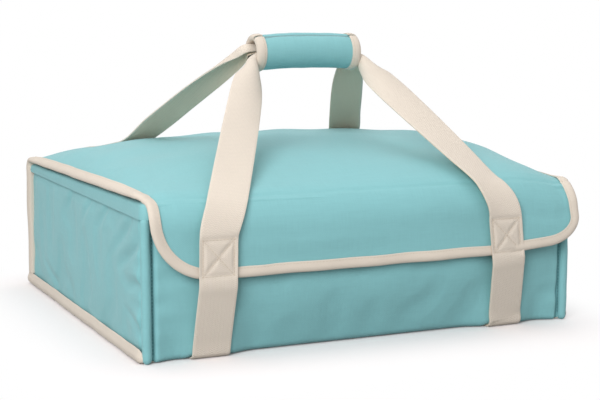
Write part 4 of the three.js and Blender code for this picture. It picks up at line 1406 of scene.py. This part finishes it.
def grip_stations(side, core, lift, out):
    """The end of a strap, rolled up inside its half of the grip."""
    y, z = core
    return [(side * (GRIP_HALF - 0.009) + STRAP_SHIFT, y, z + 0.001, *unit(lift * 0.3 + out), 1),
            (side * GRIP_HALF * 0.5 + STRAP_SHIFT, y, z + 0.002, *out, 1)]


def girth_stations(side, half, toe):
    """The long strap from its end on the back wall, under the base and round the front's lower edge."""
    x = BACK_STRAPS[side]
    low = FRONT_STRAPS[side][0]
    back = STRAP_BACK - half
    quarter = [(math.sin(a), math.cos(a)) for a in np.linspace(0, math.pi / 2, 5)]
    stations = [(x, back, z, 0, 1, 0, 0) for z in (0.132, 0.09, 0.05, 0.025, 0.010)]
    for sine, cosine in quarter:
        y = back - BACK_BEND + BACK_BEND * cosine
        z = half + BACK_BEND - BACK_BEND * sine
        stations.append((x, y, z, 0, cosine, -sine, 0))
    for t in (0.03, 0.2, 0.4, 0.6, 0.8, 0.96):
        stations.append((lerp(x, low, t), lerp(back, toe, t), half, 0, 0, -1, 0))
    for sine, cosine in quarter:
        y = toe + FRONT_ROUND - FRONT_ROUND * sine
        z = half + FRONT_ROUND - FRONT_ROUND * cosine
        stations.append((low, y, z, 0, -sine, -cosine, 0))
    return stations


def rise_stations(side, front, toe):
    """The long strap up the front wall, drawn taut from its toe to the box that sews it down."""
    stations = []
    for z in (0.016, 0.026, 0.038, 0.050, 0.062):
        x = front_strap_x(side, z)
        wall = wall_at(front_place(x + np.linspace(-0.017, 0.017, 5)), z)[:, 1].min() - 0.0014
        taut = lerp(toe, front, (z - TOE_Z) / (STRAP_TOP - TOE_Z))
        stations.append((x, min(wall, taut), z, 0, -1, 0, 0))
    for z in (STRAP_TOP, 0.085, 0.100, BEND_Z):
        stations.append((front_strap_x(side, z), front, z, 0, -1, 0, 0))
    return stations


def loop_stations(side, front):
    """The long strap over the lid's fold, in an arc and then straight, to the grip, where it rolls up."""
    core = grip_core(-1)
    enter = np.array([side * (GRIP_HALF + 0.002) + STRAP_SHIFT, *(core - np.array([0.003, 0.004]))])
    radius = FRONT_BEND[side]
    angle = 0.8
    for _ in range(20):
        leave = np.array([front + radius * (1 - math.cos(angle)), BEND_Z + radius * math.sin(angle)])
        angle = math.atan2(*(enter[1:] - leave))
    arc = radius * angle
    bent = arc / (arc + np.linalg.norm(enter[1:] - leave))
    start = FRONT_STRAPS[side][1]
    tilt = FRONT_TILT[side]
    stations = []
    for share in (0.2, 0.4, 0.6, 0.8, 1.0):
        a = angle * share
        x = lerp(start, enter[0], eased(bent * share, FRONT_LEAD[side]))
        y = front + radius * (1 - math.cos(a))
        z = BEND_Z + radius * math.sin(a)
        stations.append((x, y, z, tilt[0] * share, -math.cos(a), math.sin(a), 0))
    lift = np.array([0, -math.cos(angle), math.sin(angle)])
    first = np.array(stations[-1][:3])
    for t, curl in ((0.2, 0.0), (0.4, 0.02), (0.6, 0.07), (0.75, 0.14), (0.86, 0.28), (0.93, 0.54)):
        place = lerp(first, enter, t)
        place[0] = lerp(start, enter[0], eased(lerp(bent, 1, t), FRONT_LEAD[side]))
        stations.append((*place, lerp(*tilt, t) * smooth(1 - t, 0, 0.15), *lift[1:], curl))
    stations.append((*enter, *unit(lift + SEAM_FRONT * 0.5), 0.88))
    return stations + grip_stations(side, core, lift, SEAM_FRONT)


def front_stations(sizes, side):
    """One half of the long strap, from the back wall, under the bag, to the middle of the grip."""
    half = sizes.webbing / 2
    front = STRAP_FRONT + half
    toe = FRONT_Y - SEAM + front_bow(FRONT_STRAPS[side][0], 0)
    return girth_stations(side, half, toe) + rise_stations(side, front, toe) + loop_stations(side, front)


def foot_x(side, station):
    """Where a back strap lies across the cover: it leans in as it goes forward."""
    return BACK_STRAPS[side] - side * FOOT_LEAN * max(0, station) / FOOT_STATION


def cover_facing(x, station):
    """The cover's outward direction at a station, taken as level across the bag."""
    ahead = cover_at(x, station + 0.02) - cover_at(x, station - 0.02)
    return unit(np.cross(ahead, [1.0, 0, 0]))


def back_stations(side):
    """One half of the short strap: from its seam on the lid, over the crown to the grip."""
    lifts = ((0.05, 0.0030), (0.10, 0.0022), (0.16, 0.0014), (0.23, 0.0013), (0.29, 0.0014))
    curls = ((0.2, 0.0), (0.4, 0.02), (0.55, 0.06), (0.68, 0.14), (0.78, 0.24), (0.87, 0.38), (0.94, 0.58))
    stations = []
    for station, lift in lifts:
        x = foot_x(side, station)
        facing = cover_facing(x, station)
        stations.append((*(cover_at(x, station) + facing * lift), *facing, 0))
    leave = np.array(stations[-1][:3])
    core = grip_core(1)
    enter = np.array([side * GRIP_HALF + BACK_ENTER[side] + STRAP_SHIFT, *core])
    rise = enter - leave
    lift = unit(np.array([0, rise[2], -rise[1]]))
    for t, curl in curls:
        stations.append((*(leave + rise * t), *lift, curl))
    stations.append((*enter, *unit(lift - SEAM_FRONT * 0.5), 0.85))
    return stations + grip_stations(side, core, lift, -SEAM_FRONT)


def cross_box(low, high):
    """The seams of a sewn-down strap end, (across, along): a box with a cross in it."""
    (a, c), (b, d) = low, high
    corners = [(a, c), (b, c), (b, d), (a, d), (a, c)]
    lines = [np.linspace(p, q, 40) for p, q in zip(corners[:-1], corners[1:])]
    return lines + [np.linspace((a, c), (b, d), 50), np.linspace((b, c), (a, d), 50)]


def press_seams(rings, lines, facing, depth, width):
    """Sinks a strap's face along its seams, so that the webbing puffs up between them."""
    seams = np.concatenate(lines)
    count = rings.shape[1] // 2
    low, high = seams.min(0) - 0.006, seams.max(0) + 0.006
    for i in np.flatnonzero(np.all((rings[:, 0] > low - 0.04) & (rings[:, 0] < high + 0.04), axis=1)):
        gap = np.linalg.norm(rings[i, :count, None] - seams[None], axis=-1).min(axis=1)
        rings[i, :count] -= facing * (depth * np.exp(-(gap / width) ** 2))[:, None]


def clear_lid(rings, gap):
    """Lifts the parts of a strap that would sink into the lid's front half, both faces together."""
    lowest, rearmost, deepest = 0.075, -0.02, 0.02
    grid, normals = FORMS["cover"][0].reshape(-1, 3), FORMS["cover_normals"].reshape(-1, 3)
    tree = KDTree(len(grid))
    for number, point in enumerate(grid):
        tree.insert(point, number)
    tree.balance()
    under = rings.shape[1] // 2
    for ring in rings:
        for j in range(under, 2 * under):
            if ring[j, 2] > lowest and ring[j, 1] < rearmost:
                _, number, _ = tree.find(ring[j])
                sunk = gap - (ring[j] - grid[number]) @ normals[number]
                if 0 < sunk < deepest:
                    ring[[j, 2 * under - 1 - j]] += normals[number] * sunk


def make_front_strap(sizes):
    """The long strap round the bag that makes the front handle, with the crossed boxes that sew it down."""
    stations = front_stations(sizes, -1) + front_stations(sizes, 1)[::-1]
    rings, along = strap_rings(stations, sizes.webbing_width, sizes.webbing)
    clear_lid(rings, 0.0006)
    reach = sizes.webbing_width / 2 - SEAM_MARGIN
    facing = np.array([0.0, -1.0, 0.0])
    lines = []
    for side in (-1, 1):
        box = cross_box((-reach, FLAP_EDGE + 0.001), (reach, FLAP_EDGE + 0.035))
        seams = [np.stack(np.broadcast_arrays(front_strap_x(side, z) + x, STRAP_FRONT, z), -1)
                 for x, z in (line.T for line in box)]
        press_seams(rings, seams, facing, 0.0013, 0.0021)
        lines += [line - facing * 0.0011 for line in seams]
    cut = Cut()
    cut.sweep(rings, along)
    piece = cut.make("front_strap", FINISHES["webbing"], 60)
    turn = ("bag_body", "front_handle", FRONT_TURN)
    fasten(piece, ("front_webbing", "left_girth", "right_girth"), turn=turn)
    made = sew("front_strap_stitches", lines, FINISHES["thread"], sizes)
    fasten(made, turn=turn)


def make_back_strap(sizes):
    """The short strap of the back handle, its ends over the lid's back edge and their seams."""
    stations = back_stations(-1) + back_stations(1)[::-1]
    rings, along = strap_rings(stations, sizes.webbing_width, sizes.webbing)
    cut = Cut()
    cut.sweep(rings, along)
    fasten(cut.make("back_strap", FINISHES["webbing"], 60), ("back_webbing",),
           turn=("lid", "back_handle", BACK_TURN))
    bridge = Cut()
    lines = []
    reach = sizes.webbing_width / 2 - SEAM_MARGIN
    for side in (-1, 1):
        x = BACK_STRAPS[side]
        stations = [(x, STRAP_BACK + 0.0013, z, 0, 1, 0, 0) for z in (0.088, 0.105, 0.120, 0.132)]
        for station in (-0.18, -0.1, -0.03, 0.03, 0.06, 0.085):
            place = cover_at(foot_x(side, station), station)
            facing = cover_facing(x, station)
            stations.append((*(place + facing * 0.0012), *facing, 0))
        ring, run = strap_rings(stations, sizes.webbing_width, sizes.webbing * 0.8)
        bridge.sweep(ring, run)
        for line in cross_box((-reach, 0.091), (reach, 0.123)):
            lines.append(np.stack(np.broadcast_arrays(x + line[:, 0], STRAP_BACK + 0.0022, line[:, 1]), -1))
    turn = ("bag_body", "lid", LID_TURN)
    fasten(bridge.make("back_strap_ends", FINISHES["webbing"], 60), turn=turn)
    fasten(sew("back_strap_stitches", lines, FINISHES["thread"], sizes), turn=turn)


# The grip and the body's seams

def grip_axis(x):
    """Points of the grip's arched centre line."""
    drop = GRIP_ARCH * (x / GRIP_HALF) ** 2
    return np.stack(np.broadcast_arrays(x + STRAP_SHIFT, GRIP_Y, GRIP_Z - drop), -1)


def half_ring(outer, inner):
    """A half tube's outline about the seam: (up the seam, out from it) pairs, with rounded long edges."""
    gap = 0.0013
    start = math.asin(gap / outer)
    arc = np.linspace(start + 0.10, math.pi - start - 0.10, 40)
    back = np.linspace(math.pi - math.asin(gap / inner), math.asin(gap / inner), 24)
    soft = outer - 0.0013
    out = [(soft * math.cos(start), gap)]
    out += [(outer * math.cos(a), outer * math.sin(a)) for a in arc]
    out += [(-soft * math.cos(start), gap)]
    out += [(inner * math.cos(a), inner * math.sin(a)) for a in back]
    return np.array(out)


def make_grip(sizes):
    """The two padded halves of the grip, their bound ends and the closing strips along the seams."""
    for side, name in ((-1, "front"), (1, "back")):
        out = SEAM_FRONT * -side
        x = np.linspace(-GRIP_HALF + 0.0022, GRIP_HALF - 0.0022, 44)
        outline = half_ring(PAD_RADIUS, PAD_BORE)
        angle = np.arctan2(outline[:, 1], outline[:, 0])
        swell = 1 + 0.010 * ripple(x[:, None], angle[None, :] * 0.02, 91 + side, 0.05, 0.018)
        neck = 1 - 0.02 * smooth(np.abs(x), GRIP_HALF - 0.016, GRIP_HALF - 0.004)
        radial = outline[None] * (swell * neck[:, None])[..., None]
        rings = grip_axis(x)[:, None] + radial[..., :1] * SEAM_UP + radial[..., 1:] * out
        cut = Cut()
        cut.sweep(rings, spread(grip_axis(x), 0))
        body = f"{name}_handle"
        fasten(cut.make(f"{name}_grip_pad", FINISHES["cloth"]),
               (f"{name}_grip_cover", f"{name}_grip_foam"), body=body)
        make_grip_ends(sizes, name, out, body)
        make_grip_seams(name, out, body)


def make_grip_ends(sizes, name, out, body):
    """The cream binding round each end of a grip half, with its stitching."""
    cut = Cut()
    lines = []
    angle = np.linspace(0.075, math.pi - 0.075, 48)
    width = GRIP_BINDING
    middle = (PAD_RADIUS + PAD_BORE) / 2
    thick = (PAD_RADIUS - PAD_BORE) / 2 + 0.0006
    centre = [(-width, PAD_RADIUS + 0.0002), (-width * 0.85, PAD_RADIUS + 0.0005),
              (-width * 0.6, PAD_RADIUS + 0.0009), (-width * 0.35, PAD_RADIUS + 0.0009)]
    centre += [(-0.0025 + 0.0025 * math.cos(a), middle + thick * math.sin(a))
               for a in np.linspace(math.pi / 2, -math.pi / 2, 9)]
    centre += [(-width * 0.5, PAD_BORE - 0.0005), (-width * 0.9, PAD_BORE - 0.0001)]
    outline = thicken(centre, sizes.cloth)
    spoke = np.cos(angle)[:, None] * SEAM_UP + np.sin(angle)[:, None] * out
    for side in (-1, 1):
        x = side * (GRIP_HALF - 0.0005) + side * outline[:, 0]
        rings = grip_axis(x)[None] + spoke[:, None] * outline[None, :, 1:]
        cut.sweep(rings, angle * PAD_RADIUS)
        row = side * (GRIP_HALF - width + 0.0018)
        lines.append(grip_axis(np.full(len(angle), row)) + spoke * (PAD_RADIUS + 0.0011))
    fasten(cut.make(f"{name}_grip_binding", FINISHES["binding"]),
           (f"{name}_grip_left_end", f"{name}_grip_right_end"), body=body)
    fasten(sew(f"{name}_grip_stitches", lines, FINISHES["thread"], sizes), body=body)


def make_grip_seams(name, out, body):
    """The hook or loop strips that close the grip along its two seams."""
    cut = Cut()
    x = np.linspace(-GRIP_HALF + 0.011, GRIP_HALF - 0.011, 30)
    for end in (1, -1):
        outline = np.array([(end * r, w) for r, w in (
            (0.0142, 0.0002), (0.0174, 0.0002), (0.0177, 0.0006), (0.0175, 0.0016), (0.0142, 0.0016))])
        rings = grip_axis(x)[:, None] + outline[None, :, :1] * SEAM_UP + outline[None, :, 1:] * out
        cut.sweep(rings, spread(grip_axis(x), 0))
    kind = "hook" if name == "front" else "loop"
    fasten(cut.make(f"{name}_grip_{kind}_strips", FINISHES["closure"]),
           (f"{name}_grip_top_{kind}", f"{name}_grip_bottom_{kind}"), body=body)


def make_body_stitching(sizes):
    """The seams of the bag's own body: side bindings in cream, and along the hem and piping a dark teal
    thread that paints the shade in their grooves.
    """
    cream = sew("binding_stitches", FORMS["body_lines"], FINISHES["thread"], sizes)
    fasten(cream, body="bag_body")
    teal = sew("seam_shade_stitches", FORMS["seam_shade_lines"], FINISHES["cloth_thread"], sizes)
    fasten(teal, body="bag_body")


# The stage

def make_floor():
    """A white floor that keeps the bag's soft shadow, and glows white further out."""
    paint = Paint("white_floor")
    place = paint.place()
    paper = paint.noise(place, 3.0)
    gap = place
    for operation, value in (("ADD", SHADOW_SHIFT), ("ABSOLUTE", (0, 0, 0)),
                             ("SUBTRACT", SHADOW_HALF), ("MAXIMUM", (0, 0, 0))):
        gap = paint.node("ShaderNodeVectorMath", {"operation": operation}, {0: gap, 1: value})
    away = paint.node("ShaderNodeVectorMath", {"operation": "LENGTH"}, {0: gap}, "Value")
    open_floor = paint.node("ShaderNodeMapRange", {"interpolation_type": "SMOOTHSTEP"}, {
        "Value": away, "From Min": SHADOW_FADE[0], "From Max": SHADOW_FADE[1]})
    bounce = (FLOOR_BOUNCE, FLOOR_BOUNCE, FLOOR_BOUNCE, 1)
    dim = paint.node("ShaderNodeBsdfDiffuse", None, {"Color": bounce})
    tint = paint.shade(FLOOR_TINT, 0.99 + paper * 0.02)
    matte = paint.node("ShaderNodeBsdfDiffuse", None, {"Color": tint})
    glow = paint.node("ShaderNodeEmission", None, {"Color": (1, 1, 1, 1), "Strength": 1.0})
    lit = paint.node("ShaderNodeMixShader", None, {"Fac": 0.05 + 0.95 * open_floor, 1: matte, 2: glow})
    seen = paint.background_ray()
    paint.node_output(paint.node("ShaderNodeMixShader", None, {"Fac": seen, 1: dim, 2: lit}))
    mesh = bpy.data.meshes.new("floor")
    corners = [(x * FLOOR_REACH, y * FLOOR_REACH, 0) for x, y in ((-1, -1), (1, -1), (1, 1), (-1, 1))]
    mesh.from_pydata(corners, [], [(0, 1, 2, 3)])
    mesh.materials.append(paint.material)
    floor = bpy.data.objects.new("floor", mesh)
    bpy.context.scene.collection.objects.link(floor)


def make_world():
    """Even studio light, and plain white wherever the background itself is seen."""
    world = bpy.data.worlds.new("studio")
    paint = Paint("studio", world)
    light, white = [paint.node("ShaderNodeBackground", None, {"Color": (1, 1, 1, 1), "Strength": strength})
                    for strength in (WORLD_LIGHT, 1.0)]
    shown = paint.node("ShaderNodeMixShader", None, {"Fac": paint.background_ray(), 1: light, 2: white})
    paint.node_output(shown, "ShaderNodeOutputWorld")
    bpy.context.scene.world = world


def make_lamp(name, place, size, power):
    """A soft square lamp aimed at the bag."""
    data = bpy.data.lights.new(name, "AREA")
    data.shape = "SQUARE"
    data.size = size
    data.energy = power
    lamp = bpy.data.objects.new(name, data)
    lamp.location = place
    lamp.rotation_euler = (Vector(LAMP_TARGET) - Vector(place)).to_track_quat("-Z", "Y").to_euler()
    bpy.context.scene.collection.objects.link(lamp)


def make_camera():
    """The camera at the place where the bag was photographed from."""
    data = bpy.data.cameras.new("photo_camera")
    data.sensor_width = 36
    data.lens = CAMERA_LENS
    camera = bpy.data.objects.new("photo_camera", data)
    camera.location = CAMERA_PLACE
    level = math.cos(CAMERA_PITCH)
    look = Vector((math.sin(CAMERA_YAW) * level, math.cos(CAMERA_YAW) * level, -math.sin(CAMERA_PITCH)))
    camera.rotation_euler = look.to_track_quat("-Z", "Y").to_euler()
    bpy.context.scene.collection.objects.link(camera)
    bpy.context.scene.camera = camera


# The add-on

class BAG_OT_finishes(bpy.types.Operator):
    """Mix the bag's materials"""

    bl_idname = "bag.finishes"
    bl_label = "Finishes"

    def execute(self, context):
        make_finishes(context.scene.bag_colours)
        return {"FINISHED"}


class BAG_OT_cover(bpy.types.Operator):
    """Sew the cover cloth over the back, lid and flap"""

    bl_idname = "bag.cover"
    bl_label = "Cover"

    def execute(self, context):
        make_cover(context.scene.bag_sizes)
        return {"FINISHED"}


class BAG_OT_walls(bpy.types.Operator):
    """Sew the padded walls, the base with its board, the mouth hem and the front piping"""

    bl_idname = "bag.walls"
    bl_label = "Walls"

    def execute(self, context):
        sizes = context.scene.bag_sizes
        make_walls(sizes)
        make_base(sizes)
        make_hem()
        make_piping(sizes)
        return {"FINISHED"}


class BAG_OT_bindings(bpy.types.Operator):
    """Bind the lid, the flap and the side edges"""

    bl_idname = "bag.bindings"
    bl_label = "Bindings"

    def execute(self, context):
        sizes = context.scene.bag_sizes
        make_lid_binding(sizes)
        make_side_bindings(sizes)
        return {"FINISHED"}


class BAG_OT_lining(bpy.types.Operator):
    """Line the tub and the lid and sew in the closing tapes"""

    bl_idname = "bag.lining"
    bl_label = "Lining"

    def execute(self, context):
        make_lining()
        make_lid_lining()
        make_closures()
        return {"FINISHED"}


class BAG_OT_straps(bpy.types.Operator):
    """Lay the webbing straps and sew them down"""

    bl_idname = "bag.straps"
    bl_label = "Straps"

    def execute(self, context):
        sizes = context.scene.bag_sizes
        make_front_strap(sizes)
        make_back_strap(sizes)
        return {"FINISHED"}


class BAG_OT_grip(bpy.types.Operator):
    """Wrap the padded grip round the straps"""

    bl_idname = "bag.grip"
    bl_label = "Grip"

    def execute(self, context):
        make_grip(context.scene.bag_sizes)
        return {"FINISHED"}


class BAG_OT_stitching(bpy.types.Operator):
    """Stitch the seams of the body"""

    bl_idname = "bag.stitching"
    bl_label = "Stitching"

    def execute(self, context):
        make_body_stitching(context.scene.bag_sizes)
        return {"FINISHED"}


class BAG_OT_stage(bpy.types.Operator):
    """Set the floor, the light and the camera"""

    bl_idname = "bag.stage"
    bl_label = "Stage"

    def execute(self, context):
        make_floor()
        make_world()
        make_lamp("key", *KEY_LAMP)
        make_lamp("top", *TOP_LAMP)
        make_camera()
        context.scene.view_settings.view_transform = "Standard"
        return {"FINISHED"}


OPERATORS = (BAG_OT_finishes, BAG_OT_cover, BAG_OT_walls, BAG_OT_bindings, BAG_OT_lining, BAG_OT_straps,
             BAG_OT_grip, BAG_OT_stitching, BAG_OT_stage)


class BAG_PT_panel(bpy.types.Panel):
    """Lists the bag's pieces, sizes and colours"""

    bl_idname = "BAG_PT_panel"
    bl_label = "Padded Pizza Bag"
    bl_space_type = "VIEW_3D"
    bl_region_type = "UI"
    bl_category = "Bag"

    def draw(self, context):
        for operator in OPERATORS:
            self.layout.operator(operator.bl_idname)
        for group in (context.scene.bag_sizes, context.scene.bag_colours):
            for name in group.bl_rna.properties.keys():
                if name not in ("rna_type", "name"):
                    self.layout.prop(group, name)


CLASSES = (BagSizes, BagColours, *OPERATORS, BAG_PT_panel)


def register():
    for item in CLASSES:
        bpy.utils.register_class(item)
    bpy.types.Scene.bag_sizes = bpy.props.PointerProperty(type=BagSizes)
    bpy.types.Scene.bag_colours = bpy.props.PointerProperty(type=BagColours)


def unregister():
    del bpy.types.Scene.bag_colours
    del bpy.types.Scene.bag_sizes
    for item in reversed(CLASSES):
        bpy.utils.unregister_class(item)


def main():
    register()
    bpy.ops.bag.finishes()
    bpy.ops.bag.cover()
    bpy.ops.bag.walls()
    bpy.ops.bag.bindings()
    bpy.ops.bag.lining()
    bpy.ops.bag.straps()
    bpy.ops.bag.grip()
    bpy.ops.bag.stitching()
    bpy.ops.bag.stage()


if __name__ == "__main__":
    main()
